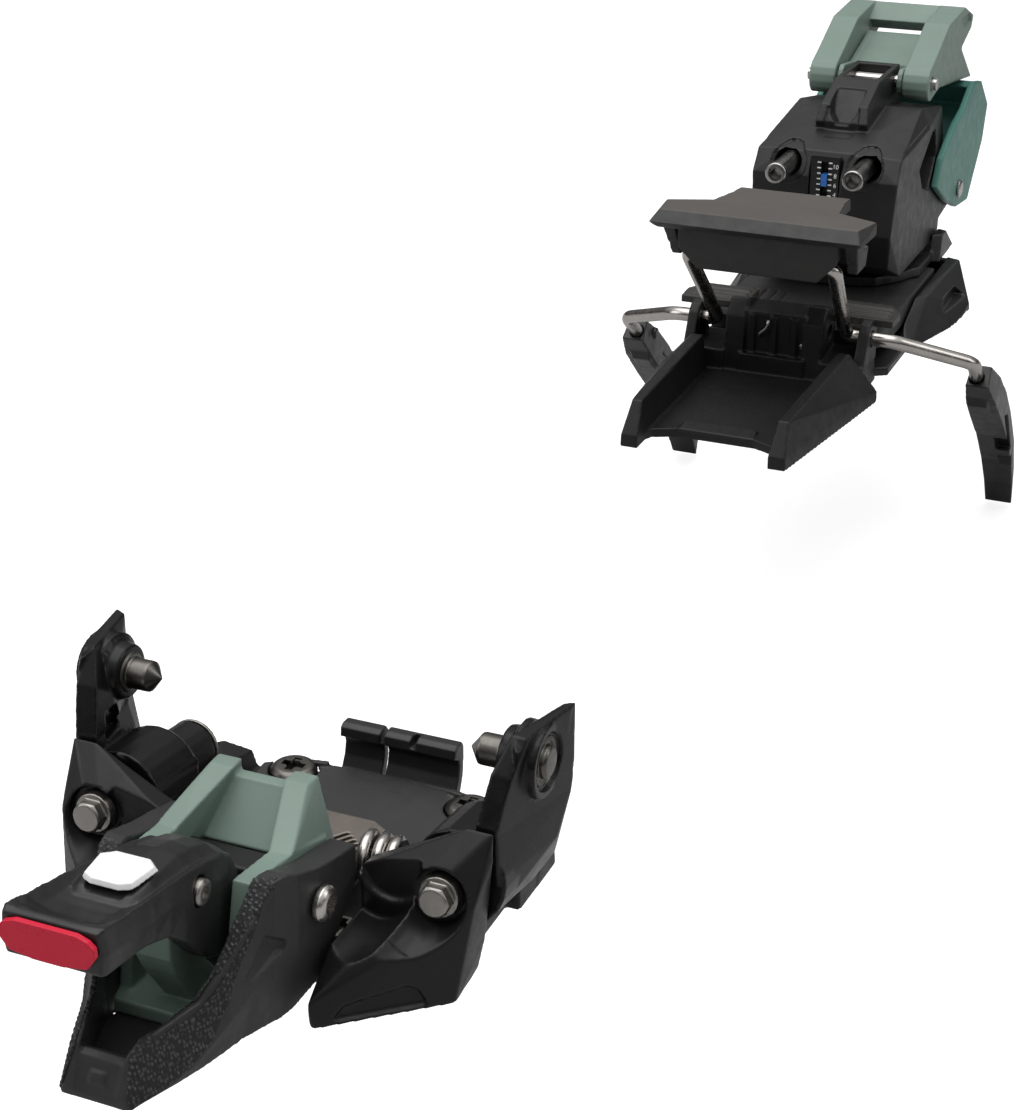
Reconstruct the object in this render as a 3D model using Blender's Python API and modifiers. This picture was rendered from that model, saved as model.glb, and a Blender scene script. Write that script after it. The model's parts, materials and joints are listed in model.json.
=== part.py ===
"""Touring binding: a toe unit and a heel unit on one ski centre line.

Frame: x across the ski, y towards the heel (the ski tip is at -y), z up.
Origin: on the ski's top face, midway between the toe pins.
Lengths below are millimetres; add() and tool() turn them into metres.
"""
import math

import bmesh
import bpy
from mathutils import Matrix, Vector

MM = 0.001

# ---- driving dimensions, mm -------------------------------------------------
# An axis along x is given as (y, z), along y as (x, z), along z as (x, y).
BASE_H = 3.2                                # toe base plate above the ski
TOP_PLATE_GAP = 0.3
TOE_REAR_SCREW = (19.2, 25.6)               # rear pair of the four-hole toe pattern
TOE_FRONT_SCREW = (14.6, -20.0)
TOE_SCREW_BORE_R = 2.9
AXLE_X, AXLE_Z, AXLE_SLOPE = 34.4, 15.04, -0.1267   # jaw axles run along y, fall towards the heel
AXLE_R, AXLE_BORE_R = 3.0, 3.3
HUB_R = 9.0
PIN_TIP_X = 31.4
PIN_AXIS = (0.0, 35.5)
PEDAL_AXIS = (-33.0, 20.0)                  # front pedal pivot
LEVER_AXIS = (-53.4, 32.0)                  # mode lever pivot
HEEL_PIN_X, HEEL_PIN_TIP_Y, HEEL_PIN_Z = 11.9, 320.5, 53.3
HEEL_PIN_PIVOT_Y = 346.0
TURRET_AXIS = (0, 370.0)
DISC_LOW, DISC_TOP = 12.1, 15.2             # round base of the turret
VERTICAL_SCREW_AXIS = (0, 379.0)
LATERAL_SCREW_Z = 36.0
LATERAL_AXIS = (0, LATERAL_SCREW_Z)
LIFT_AXIS = (385.4, 69.6)
LIFT_AXLE_R, LIFT_BORE_R = 1.9, 2.2
FRAME_SCREW_AXIS = (411.6, 29.6)
FRAME_SCREW_BORE_R = 2.2
FRAME_INNER_X, FRAME_OUTER_X = 23.2, 25.4
BRAKE_AXIS = (294.5, 14.6)
BRAKE_PEDAL_AXIS = (268.4, 42.6)
WIRE_R, WIRE_BEND_R = 2.1, 3.2
WIRE_BORE_R = WIRE_R + 0.35
HEEL_SCREW_X = 15.0
HEEL_SCREW_YS = {"front": 308.0, "rear": 386.6}
TRACK_SCREW_Z = 6.6
TRACK_SCREW_AXIS = (0, TRACK_SCREW_Z)
TRACK_SCREW_BORE_R = 3.0
PLATE_LOW, HEEL_PLATE_TOP = -0.6, 2.6       # base plates start below the ski face, then are trimmed

# Object origins on the joints
PEDAL_ORIGIN = (0, *PEDAL_AXIS)
LEVER_ORIGIN = (0, *LEVER_AXIS)
BRAKE_ORIGIN = (0, *BRAKE_AXIS)
BRAKE_PEDAL_ORIGIN = (0, *BRAKE_PEDAL_AXIS)
LIFT_ORIGIN = (0, *LIFT_AXIS)
TURRET_ORIGIN = (*TURRET_AXIS, 12.0)

# Word used in part names, sign of x
SIDES = (("right", 1), ("left", -1))

# ---- scene ------------------------------------------------------------------
for old in list(bpy.data.objects):
    bpy.data.objects.remove(old, do_unlink=True)
PARTS = bpy.data.collections.new("touring_binding")
CUTTERS = bpy.data.collections.new("cutters")
bpy.context.scene.collection.children.link(PARTS)
bpy.context.scene.collection.children.link(CUTTERS)

# ---- materials: base colour, roughness, metallic ----------------------------
MATERIALS = {
    "black_plastic": ((0.020, 0.020, 0.022), 0.42, 0.0),
    "black_alloy": ((0.025, 0.025, 0.027), 0.30, 0.3),
    "black_grip": ((0.018, 0.018, 0.019), 0.80, 0.0),
    "sage_plastic": ((0.210, 0.330, 0.270), 0.45, 0.0),
    "green_plastic": ((0.050, 0.175, 0.125), 0.40, 0.0),
    "pedal_plastic": ((0.075, 0.068, 0.060), 0.55, 0.0),
    "steel": ((0.55, 0.53, 0.50), 0.28, 1.0),
    "chrome": ((0.75, 0.74, 0.72), 0.12, 1.0),
    "dark_steel": ((0.10, 0.095, 0.09), 0.35, 0.9),
    "trigger_metal": ((0.16, 0.14, 0.12), 0.45, 0.7),
    "white_plastic": ((0.85, 0.85, 0.85), 0.35, 0.0),
    "red_plastic": ((0.50, 0.02, 0.03), 0.35, 0.0),
    "blue_plastic": ((0.01, 0.08, 0.45), 0.35, 0.0),
}


def material(name):
    found = bpy.data.materials.get(name)
    if found:
        return found
    colour, roughness, metallic = MATERIALS[name]
    made = bpy.data.materials.new(name)
    made.use_nodes = True
    shader = made.node_tree.nodes["Principled BSDF"]
    shader.inputs["Base Color"].default_value = (*colour, 1.0)
    shader.inputs["Roughness"].default_value = roughness
    shader.inputs["Metallic"].default_value = metallic
    made.diffuse_color = (*colour, 1.0)
    return made


# ---- parts and live Booleans ------------------------------------------------
def add(name, mesh, slot, origin=(0.0, 0.0, 0.0), smooth=None):
    """A part from a mesh in world millimetres; smooth is the sharp-edge angle in degrees."""
    mesh.transform(Matrix.Translation(-Vector(origin)))
    mesh.transform(Matrix.Scale(MM, 4))
    mesh.name = name
    part = bpy.data.objects.new(name, mesh)
    part.location = Vector(origin) * MM
    part.data.materials.append(material(slot))
    PARTS.objects.link(part)
    if smooth is not None:
        mesh.shade_smooth()
        mesh.set_sharp_from_angle(angle=math.radians(smooth))
    return part


def tool(part, mesh, operation):
    """Joins a mesh (millimetres, world) to a part, or cuts it away, with a live Boolean."""
    mesh.transform(Matrix.Scale(MM, 4))
    helper = bpy.data.objects.new(part.name + "." + operation.lower(), mesh)
    helper.hide_render = True
    helper.display_type = "WIRE"
    CUTTERS.objects.link(helper)
    step = part.modifiers.new(operation.lower(), "BOOLEAN")
    step.operation = operation
    step.solver = "EXACT"
    step.object = helper


def join(part, *meshes):
    for mesh in meshes:
        tool(part, mesh, "UNION")


def cut(part, *meshes):
    for mesh in meshes:
        tool(part, mesh, "DIFFERENCE")


def join_sides(part, *meshes):
    """Joins the right-hand meshes, then their mirror images."""
    join(part, *meshes, *[mirrored(mesh) for mesh in meshes])


def cut_sides(part, *meshes):
    """Cuts the right-hand meshes, then their mirror images."""
    cut(part, *meshes, *[mirrored(mesh) for mesh in meshes])


def ground(part):
    """Trims a base flat where it stands on the ski."""
    cut(part, box(-90.0, 90.0, -140.0, 500.0, -30.0, 0.0))


# ---- points -----------------------------------------------------------------
def flipped(points):
    return [(-point[0], *point[1:]) for point in points]


def both(points):
    """The points and their mirror images across the ski's centre plane."""
    return list(points) + flipped(points)


def symmetric(half, middle=()):
    """A closed outline from its right half, with optional points on the centre line."""
    return [*half, *middle, *flipped(reversed(half))]


def arc(centre, radius, start, end, steps):
    """Points on a circle, angles in degrees."""
    angles = [math.radians(start + (end - start) * k / steps) for k in range(steps + 1)]
    return [(centre[0] + radius * math.cos(angle), centre[1] + radius * math.sin(angle))
            for angle in angles]


def ring_hole(centre, radius):
    return arc(centre, radius, 0, 360, 12)[:-1]


def on_axis(axis, centre, distance):
    """The point at a distance along an x, y or z axis; centre is its other two coordinates."""
    first, second = centre
    return {"x": (distance, first, second), "y": (first, distance, second),
            "z": (first, second, distance)}[axis]


def rounded(path, radius, steps=4):
    """Path corners replaced by short curves, for bent wire."""
    out = [Vector(path[0])]
    for before, here, after in zip(path, path[1:], path[2:]):
        here = Vector(here)
        back = Vector(before) - here
        ahead = Vector(after) - here
        reach = min(radius, back.length * 0.45, ahead.length * 0.45)
        start = here + back.normalized() * reach
        end = here + ahead.normalized() * reach
        for k in range(steps + 1):
            mix = k / steps
            out.append(start * (1 - mix) ** 2 + here * 2 * mix * (1 - mix) + end * mix ** 2)
    out.append(Vector(path[-1]))
    return [tuple(point) for point in out]


# ---- shapes -----------------------------------------------------------------
TURN = {
    "x": Matrix.Rotation(math.radians(90), 4, "Y"),
    "y": Matrix.Rotation(math.radians(-90), 4, "X"),
    "z": Matrix.Identity(4),
}


def finish(shape):
    bmesh.ops.recalc_face_normals(shape, faces=shape.faces)
    mesh = bpy.data.meshes.new("shape")
    shape.to_mesh(mesh)
    shape.free()
    return mesh


def mirrored(mesh):
    shape = bmesh.new()
    shape.from_mesh(mesh)
    bmesh.ops.scale(shape, vec=(-1, 1, 1), verts=shape.verts)
    bmesh.ops.reverse_faces(shape, faces=shape.faces)
    return finish(shape)


def side(mesh, sign):
    return mesh if sign > 0 else mirrored(mesh)


def hull(points):
    """A faceted block: the convex wrap of its corner points."""
    shape = bmesh.new()
    for point in points:
        shape.verts.new(point)
    made = bmesh.ops.convex_hull(shape, input=shape.verts)
    loose = {item for item in [*made["geom_interior"], *made["geom_unused"]]
             if isinstance(item, bmesh.types.BMVert)}
    bmesh.ops.delete(shape, geom=list(loose), context="VERTS")
    return finish(shape)


def block(x_start, x_end, outline):
    """The convex wrap of a (y, z) outline, carried across the ski."""
    return hull([(x, y, z) for x in (x_start, x_end) for y, z in outline])


def box(x0, x1, y0, y1, z0, z1):
    shape = bmesh.new()
    bmesh.ops.create_cube(shape, size=1.0)
    bmesh.ops.scale(shape, vec=(x1 - x0, y1 - y0, z1 - z0), verts=shape.verts)
    middle = ((x0 + x1) / 2, (y0 + y1) / 2, (z0 + z1) / 2)
    bmesh.ops.translate(shape, vec=middle, verts=shape.verts)
    return finish(shape)


def cone(depth, radius, radius_end, sides):
    """A capped frustum along z, centred on the origin; a cylinder if radius_end is None."""
    shape = bmesh.new()
    bmesh.ops.create_cone(shape, cap_ends=True, segments=sides, radius1=radius,
                          radius2=radius if radius_end is None else radius_end, depth=depth)
    return shape


def rod(axis, centre, start, end, radius, sides=12):
    """A cylinder along x, y or z, from start to end on that axis."""
    shape = cone(end - start, radius, None, sides)
    bmesh.ops.transform(shape, matrix=TURN[axis], verts=shape.verts)
    place = on_axis(axis, centre, (start + end) / 2)
    bmesh.ops.translate(shape, vec=place, verts=shape.verts)
    return finish(shape)


def slant(start, end, radius, radius_end=None, sides=12):
    """A rod or cone frustum along the right jaw's axle, between two y positions."""
    near = Vector((AXLE_X, start, AXLE_Z + AXLE_SLOPE * start))
    far = Vector((AXLE_X, end, AXLE_Z + AXLE_SLOPE * end))
    shape = cone((far - near).length, radius, radius_end, sides)
    lean = (far - near).to_track_quat("Z", "X").to_matrix().to_4x4()
    place = Matrix.Translation((near + far) / 2) @ lean
    bmesh.ops.transform(shape, matrix=place, verts=shape.verts)
    return finish(shape)


def evaluated(holder):
    """Evaluates a temporary object to a bmesh with merged seams, and removes it."""
    CUTTERS.objects.link(holder)
    bpy.context.view_layer.update()
    graph = bpy.context.evaluated_depsgraph_get()
    made = bpy.data.meshes.new_from_object(holder.evaluated_get(graph))
    bpy.data.objects.remove(holder, do_unlink=True)
    shape = bmesh.new()
    shape.from_mesh(made)
    bmesh.ops.remove_doubles(shape, verts=shape.verts, dist=0.0005)
    return shape


def turned(axis, centre, profile, steps):
    """A lathe-turned piece: profile is (distance along the axis, radius), far end first."""
    mesh = bpy.data.meshes.new("profile")
    points = [(radius, 0.0, distance) for distance, radius in profile]
    mesh.from_pydata(points, [(i, i + 1) for i in range(len(points) - 1)], [])
    spun = bpy.data.objects.new("profile", mesh)
    screw = spun.modifiers.new("screw", "SCREW")
    screw.axis = "Z"
    screw.angle = math.tau
    screw.steps = screw.render_steps = steps
    screw.use_merge_vertices = True
    screw.merge_threshold = 0.0001
    shape = evaluated(spun)
    bmesh.ops.transform(shape, matrix=TURN[axis], verts=shape.verts)
    bmesh.ops.translate(shape, vec=on_axis(axis, centre, 0), verts=shape.verts)
    return finish(shape)


def plate(outline, low, high, normal="z", holes=()):
    """A flat outline of given thickness.

    normal z: outline is (x, y); normal x: (y, z); normal y: (x, z).
    """
    curve = bpy.data.curves.new("outline", "CURVE")
    curve.dimensions = "2D"
    curve.fill_mode = "BOTH"
    curve.extrude = (high - low) / 2
    for ring in [outline, *holes]:
        spline = curve.splines.new("POLY")
        spline.points.add(len(ring) - 1)
        for point, place in zip(spline.points, ring):
            point.co = (*place, 0.0, 1.0)
        spline.use_cyclic_u = True
    shape = evaluated(bpy.data.objects.new("outline", curve))
    middle = (low + high) / 2
    turn = {
        "z": Matrix.Translation((0, 0, middle)),
        "x": Matrix(((0, 0, 1, middle), (1, 0, 0, 0), (0, 1, 0, 0), (0, 0, 0, 1))),
        "y": Matrix(((1, 0, 0, 0), (0, 0, 1, middle), (0, 1, 0, 0), (0, 0, 0, 1))),
    }[normal]
    bmesh.ops.transform(shape, matrix=turn, verts=shape.verts)
    return finish(shape)


def add_side_plates(name, outline, inner, outer, slot, origin, holes=()):
    """A part that starts as two equal upright plates, right and left of centre."""
    part = add(name, plate(outline, inner, outer, "x", holes), slot, origin)
    join(part, plate(outline, -outer, -inner, "x", holes))
    return part


def tube(points, radius, resolution=2):
    """A round wire through the points, with filled ends."""
    curve = bpy.data.curves.new("wire", "CURVE")
    curve.dimensions = "3D"
    curve.bevel_depth = radius
    curve.bevel_resolution = resolution
    curve.use_fill_caps = True
    spline = curve.splines.new("POLY")
    spline.points.add(len(points) - 1)
    for point, place in zip(spline.points, points):
        point.co = (*place, 1.0)
    return finish(evaluated(bpy.data.objects.new("outline", curve)))


def coil(axis, centre, start, end, radius, wire, turns, per_turn=9):
    """A helical spring along x, y or z; wire is the wire's radius."""
    points = []
    count = int(turns * per_turn)
    for i in range(count + 1):
        angle = math.tau * turns * i / count
        around = (centre[0] + radius * math.cos(angle), centre[1] + radius * math.sin(angle))
        points.append(on_axis(axis, around, start + (end - start) * i / count))
    return tube(points, wire, 1)


def loft(rings):
    """A closed skin through cross-sections, each a ring of the same number of points."""
    shape = bmesh.new()
    rows = [[shape.verts.new(point) for point in ring] for ring in rings]
    for low, high in zip(rows, rows[1:]):
        for i in range(len(low)):
            j = (i + 1) % len(low)
            shape.faces.new((low[i], low[j], high[j], high[i]))
    shape.faces.new(list(reversed(rows[0])))
    shape.faces.new(rows[-1])
    bmesh.ops.triangulate(shape, faces=shape.faces)
    return finish(shape)


def screw_part(name, x, y, top, head_r, head_h, shank_r, depth):
    """An upright pan-head screw with one slot along x; top is the head's top z."""
    profile = [(top, 0), (top, head_r * 0.78), (top - head_h * 0.4, head_r),
               (top - head_h, head_r), (top - head_h, shank_r), (top - depth, shank_r),
               (top - depth, 0)]
    part = add(name, turned("z", (x, y), profile, 12), "dark_steel", (x, y, top), 40)
    slot_half = head_r * 0.5
    cut(part, box(x - slot_half, x + slot_half, y - 0.7, y + 0.7, top - 1.1, top + 1))


# =============================== TOE UNIT ====================================
# ---- toe base ---------------------------------------------------------------
base_half = [(6.6, -36.8), (6.6, -29.5), (21.0, -29.5), (33.0, -24.0), (36.0, -15.0),
             (36.0, 8.5), (34.0, 12.0), (32.0, 24.0), (26.0, 28.0), (13.4, 30.3)]
# faceted pod in front of each jaw
pod = [(19.2, -40.4, -1.0), (20.7, -40.9, -1.0), (39.1, -25.4, -1.0), (40.2, -14.3, 7.0),
       (19.2, -14.3, -1.0), (38.5, -14.3, -1.0), (19.2, -41.0, 4.6), (28.0, -33.0, 8.9),
       (36.0, -26.0, 13.4), (41.2, -21.0, 17.7), (42.2, -15.5, 24.0), (41.8, -14.3, 28.5),
       (37.4, -14.3, 28.5), (31.0, -19.6, 22.6), (24.5, -18.6, 20.4), (19.2, -20.6, 19.8),
       (19.2, -14.3, 18.6), (24.5, -14.3, 18.6)]
bearing_foot = [(30.4, 4.5, -1.0), (38.5, 4.5, -1.0), (29.2, 13.1, -1.0), (38.7, 13.1, -1.0),
                (30.4, 4.5, 11.0), (38.5, 4.5, 11.0), (30.4, 12.3, 10.0), (38.5, 12.3, 10.0)]
rear_block = [(28.0, 12.4, -1.0), (38.8, 12.4, -1.0), (26.5, 26.6, -1.0), (35.5, 26.0, -1.0),
              (38.8, 21.5, -1.0), (30.0, 15.4, 8.2), (38.4, 15.4, 8.4), (38.2, 21.5, 8.4),
              (35.0, 25.6, 8.2), (29.0, 26.8, 6.6), (28.5, 13.0, 3.0), (38.8, 13.0, 3.0)]
pedal_bearing = [(8.0, -38.0, -1.0), (8.0, -27.5, -1.0), (8.0, -37.6, 20.0),
                 (8.0, -28.0, 20.0), (8.0, -35.8, 25.0), (8.0, -30.2, 25.0)]

toe_base = add("toe_base", plate(symmetric(base_half, [(0.0, 31.2)]), PLATE_LOW, BASE_H),
               "black_plastic")
# the slanted rod and its foot are the rear bearing of the jaw's axle
join_sides(toe_base, hull(pod), slant(4.2, 13.0, 5.4, sides=18), hull(bearing_foot),
           hull(rear_block))
# bearing block of the front pedal's axle
join(toe_base, hull(both(pedal_bearing)))
# guide block of the trigger, and its pocket
join(toe_base, box(-9.0, 9.0, -13.0, 4.0, 2.0, 6.4))
ground(toe_base)
cut(toe_base, box(-4.6, 4.6, -9.6, 0.6, 1.6, 8.0))
cut_sides(toe_base,
          # round opening in the pod, inboard of the axle
          rod("y", (25.2, 20.4), -55.0, -19.4, 6.2, sides=18),
          # stepped and tapered well for the axle's head, then the axle bore
          slant(-40.0, -19.2, 5.2, sides=18),
          slant(-28.0, -21.0, 9.0, 5.0, sides=20),
          slant(-25.0, 20.0, AXLE_BORE_R, sides=14),
          rod("z", TOE_REAR_SCREW, -4.0, 9.0, TOE_SCREW_BORE_R),
          rod("z", TOE_FRONT_SCREW, -4.0, 9.0, TOE_SCREW_BORE_R))
cut(toe_base, rod("x", PEDAL_AXIS, -20.0, 20.0, 2.6))

# ---- top plate and toe screws -----------------------------------------------
top_half = [(12.9, 5.0), (15.6, 9.2), (20.4, 15.6), (25.0, 17.6), (26.0, 25.6), (22.0, 28.2),
            (13.4, 29.9)]
top_plate = add("toe_top_plate", plate(symmetric(top_half, [(0.0, 30.8)]),
                                       BASE_H + TOP_PLATE_GAP, BASE_H + 1.9), "black_alloy")
for word, sign in SIDES:
    x, y = TOE_REAR_SCREW
    cut(top_plate, rod("z", (sign * x, y), 0.0, 9.0, 5.2, sides=20))
    screw_part(f"toe_screw_rear_{word}", sign * x, y, top=BASE_H + 3.0,
               head_r=4.8, head_h=2.4, shank_r=2.5, depth=10.5)
    x, y = TOE_FRONT_SCREW
    screw_part(f"toe_screw_front_{word}", sign * x, y, top=BASE_H + 2.9,
               head_r=4.4, head_h=2.5, shank_r=2.5, depth=10.5)

# ---- crampon hooks: bent plates behind the toe, (y, z) ----------------------
hook = [(31.4, 0.3), (33.4, 0.5), (35.3, 2.2), (36.6, 5.4), (37.0, 8.8), (37.0, 11.6),
        (36.2, 12.6), (34.0, 12.8), (33.2, 12.1), (33.2, 10.5), (34.6, 9.7), (34.9, 8.0),
        (34.3, 5.6), (33.0, 3.3), (31.4, 2.2)]
HOOK_ORIGIN = (0, 31.6, 0)
add("crampon_hook_left", plate(hook, -12.4, -3.6, "x"), "black_alloy", HOOK_ORIGIN, 40)
right_hook = add("crampon_hook_right", plate(hook, -2.8, 12.9, "x"), "black_alloy",
                 HOOK_ORIGIN, 40)
cut(right_hook, box(3.0, 4.2, 30.0, 36.0, 10.9, 14.0))

# ---- jaws, with their pins, axles and springs: right-hand points ------------
jaw_lower = [(42.0, -11.0, 11.5), (42.3, 2.0, 9.4), (44.0, 8.0, 12.0), (46.0, 4.4, 18.0),
             (42.0, -13.6, 28.6), (38.0, -13.4, 28.6), (37.4, 3.2, 10.0), (37.4, 2.0, 9.2),
             (37.4, -11.0, 11.5), (47.0, 8.4, 26.0), (47.0, 9.4, 29.0), (44.4, 8.4, 29.0),
             (42.2, -13.2, 17.5), (38.0, -13.2, 17.5), (41.2, 2.6, 27.0)]
jaw_upper = [(38.0, -13.4, 28.1), (38.7, -11.5, 33.0), (39.3, -9.8, 37.0), (40.8, -6.9, 41.0),
             (41.5, -6.0, 43.0), (42.0, -13.8, 27.5), (42.7, -12.0, 33.0), (43.3, -10.2, 37.0),
             (44.0, -8.0, 40.0), (44.2, -5.6, 42.6), (47.0, 10.0, 42.5), (47.0, 9.9, 31.5),
             (47.0, 8.4, 26.0), (44.9, 9.5, 42.1), (44.6, 8.6, 33.0), (44.4, 8.4, 28.0),
             (38.4, -5.0, 28.0), (38.9, -5.0, 33.0), (39.6, -5.0, 36.0), (41.2, -4.5, 40.0)]
jaw_inner = [(34.4, -12.6, 25.4), (34.4, 2.6, 23.2), (26.4, -11.4, 20.6), (26.0, 2.0, 18.6),
             (26.0, 2.0, 11.4), (26.4, -11.4, 11.8), (34.4, -13.0, 8.4), (34.4, 2.6, 7.0)]
# (x, radius)
toe_pin = [(46.2, 0), (46.2, 2.2), (45.0, 2.5), (37.9, 2.5), (37.4, 2.9), (33.6, 2.9),
           (PIN_TIP_X, 0.25), (PIN_TIP_X, 0)]
pin_nut = [(46.4, 2.95), (46.4, 4.2), (45.9, 4.6), (44.9, 4.6), (44.9, 2.95), (46.4, 2.95)]
SPRING_AXIS = (-8.5, 13.3)

for word, sign in SIDES:
    origin = (sign * AXLE_X, 0, AXLE_Z)
    jaw = add(f"jaw_{word}", side(slant(-13.0, 0.8, HUB_R, sides=24), sign), "black_alloy",
              origin, 30)
    # tapered end of the hub, the arms, and the pin's boss
    for mesh in (slant(0.7, 3.5, HUB_R, 7.2, sides=24),
                 hull(jaw_lower), hull(jaw_upper), hull(jaw_inner),
                 rod("x", PIN_AXIS, 38.0, 41.0, 4.7, sides=20),
                 rod("x", PIN_AXIS, 40.5, 45.6, 6.2, sides=24)):
        join(jaw, side(mesh, sign))
    # axle bore and its rear clearance, then pin bore and nut recess
    for mesh in (slant(-20.0, 20.0, AXLE_BORE_R, sides=14), slant(3.8, 20.0, 5.8, sides=20),
                 rod("x", PIN_AXIS, 30.0, 60.0, 2.75, sides=16),
                 rod("x", PIN_AXIS, 44.6, 60.0, 5.0, sides=20)):
        cut(jaw, side(mesh, sign))

    add(f"toe_pin_{word}", side(turned("x", PIN_AXIS, toe_pin, 24), sign), "dark_steel",
        origin, 30)
    add(f"toe_pin_nut_{word}", side(turned("x", PIN_AXIS, pin_nut, 20), sign), "steel",
        origin, 30)

    axle = add(f"jaw_axle_{word}", side(slant(-20.2, 14.4, AXLE_R, sides=14), sign), "steel",
               origin, 30)
    # hexagon and collar at the front, collar at the rear
    for mesh in (slant(-23.6, -20.6, 3.5, sides=6), slant(-20.9, -19.5, 4.4, sides=20),
                 slant(13.3, 14.8, 5.0, sides=20)):
        join(axle, side(mesh, sign))

    # spring inboard of the jaw's inner arm
    spring = coil("x", SPRING_AXIS, 14.0, 22.8, radius=4.1, wire=1.2, turns=3.0)
    add(f"jaw_spring_{word}", side(spring, sign), "chrome", (sign * 18.0, *SPRING_AXIS), 60)

# ---- trigger plate, with a fan of slanted slots each side -------------------
trigger_half = [(8.0, -13.0), (12.2, -2.0), (12.8, 2.6), (9.6, 4.6)]
SLOT_COUNT, SLOT_WIDTH = 4, 0.9
SLOT_START, SLOT_STEP = (1.6, -8.4), (2.0, 0.4)     # front inner corner, and its step
SLOT_LENGTH, SLOT_SHORTENING = 7.4, 1.3             # along y
SLOT_LEAN = 0.68                                    # outward run per unit of y
slots = []
for _, sign in SIDES:
    for k in range(SLOT_COUNT):
        x, y = SLOT_START[0] + SLOT_STEP[0] * k, SLOT_START[1] + SLOT_STEP[1] * k
        length = SLOT_LENGTH - SLOT_SHORTENING * k
        run = length * SLOT_LEAN
        ring = [(x, y), (x + SLOT_WIDTH, y), (x + SLOT_WIDTH + run, y + length),
                (x + run, y + length)]
        slots.append([(sign * x, y) for x, y in ring])
trigger = add("trigger_plate", plate(symmetric(trigger_half), 10.4, 12.2, holes=slots),
              "trigger_metal")
# foot that stands in the guide block
join(trigger, box(-4.2, 4.2, -9.2, 0.2, 4.6, 10.8))

# ---- front pedal: two rails that meet at the nose ---------------------------
# y, inner x, lower corner x and z, outer ridge x and z, top edge x and z
rail_sections = [
    (-19.6, 13.3, 17.8, 15.0, 18.4, 19.0, 18.4, 23.6),
    (-27.0, 13.3, 18.0, 10.0, 18.6, 17.0, 18.5, 25.4),
    (-33.0, 13.3, 17.4, 4.2, 18.3, 15.0, 18.3, 26.8),
    (-39.0, 13.2, 15.6, 1.6, 17.3, 14.0, 17.8, 29.0),
    (-41.5, 13.1, 14.6, 1.0, 16.5, 14.0, 17.2, 30.2),
    (-44.5, 12.6, 13.6, 1.3, 15.6, 13.5, 16.4, 30.4),
    (-50.0, 11.8, 12.0, 1.8, 14.6, 12.0, 15.2, 25.4),
    (-55.0, 10.8, 11.2, 2.2, 13.4, 9.6, 12.9, 19.6),
    (-59.5, 9.0, 10.4, 2.6, 12.1, 7.4, 10.7, 15.4),
    (-64.0, 7.2, 9.4, 3.1, 10.7, 5.6, 8.3, 14.2),
    (-69.0, 5.0, 8.0, 3.6, 9.1, 4.8, 6.3, 13.6),
    (-72.0, 4.2, 7.0, 3.8, 7.9, 4.6, 5.6, 12.0),
    (-75.2, 3.8, 6.2, 3.9, 6.6, 4.5, 5.9, 5.7),
]
right_rail = loft([
    [(inner, y, low_z), (low_x, y, low_z), (ridge_x, y, ridge_z), (top_x, y, top_z),
     (inner, y, top_z)]
    for y, inner, low_x, low_z, ridge_x, ridge_z, top_x, top_z in rail_sections])
left_rail = mirrored(right_rail)
rails = add("pedal_rails", right_rail, "black_grip", PEDAL_ORIGIN)
join(rails, left_rail)
# nose, then the thin floor between the rails
join(rails, hull(both([(6.3, -75.4, 4.0), (5.9, -75.3, 5.2), (4.6, -72.6, 10.6),
                       (4.6, -71.4, 11.0), (7.2, -69.8, 3.6), (4.9, -69.4, 9.6)])))
join(rails, hull(both([(6.6, -73.0, 3.9), (6.6, -73.0, 5.4), (10.8, -50.6, 1.7),
                       (10.8, -50.6, 2.7), (10.5, -56.0, 2.4)])))
cut_sides(rails, rod("x", PEDAL_AXIS, 10.0, 30.0, 1.9))

# ---- pedal yoke -------------------------------------------------------------
yoke_floor = [(10.6, -53.4), (11.4, -50.0), (12.5, -43.0), (12.7, -39.6)]   # (x, y)
yoke_ear = [(5.0, -20.0, 33.5), (9.6, -20.0, 33.6), (5.2, -16.4, 33.5), (9.8, -16.4, 33.5),
            (13.0, -17.0, 20.6), (5.6, -16.8, 25.0), (13.0, -32.0, 27.9), (8.9, -33.0, 27.9),
            (13.0, -33.0, 22.0), (8.9, -33.0, 22.0), (8.9, -17.0, 20.6)]
# outer x, y, z
yoke_cheek = [(11.0, -51.0, 3.2), (13.0, -33.0, 8.0), (13.0, -22.0, 20.0), (13.0, -20.0, 24.0),
              (12.6, -42.0, 27.0), (12.2, -45.0, 29.4), (13.0, -32.0, 27.6),
              (11.8, -47.0, 22.0)]
YOKE_CHEEK_INNER_X = 8.9
# (y, z)
yoke_tongue = [(-47.6, 3.9), (-41.2, 3.7), (-41.6, 7.4), (-49.4, 17.6), (-50.6, 33.6),
               (-52.0, 35.3), (-54.8, 35.3), (-56.2, 33.6), (-56.4, 19.2), (-54.6, 15.2)]

yoke = add("pedal_yoke", hull(both([(x, y, z) for z in (3.2, 6.0) for x, y in yoke_floor])),
           "sage_plastic", PEDAL_ORIGIN)
join_sides(yoke, hull(yoke_ear), hull([(x, y, z) for outer, y, z in yoke_cheek
                                       for x in (YOKE_CHEEK_INNER_X, outer)]))
# wall between the ears
join(yoke, box(-6.2, 6.2, -19.4, -16.9, 21.2, 31.6))
# tongue that holds the mode lever's pin inside the lever
join(yoke, plate(yoke_tongue, -3.4, 3.4, "x", holes=[ring_hole(LEVER_AXIS, 2.5)]))
cut(yoke, rod("x", PEDAL_AXIS, -20.0, 20.0, 2.5))

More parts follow.
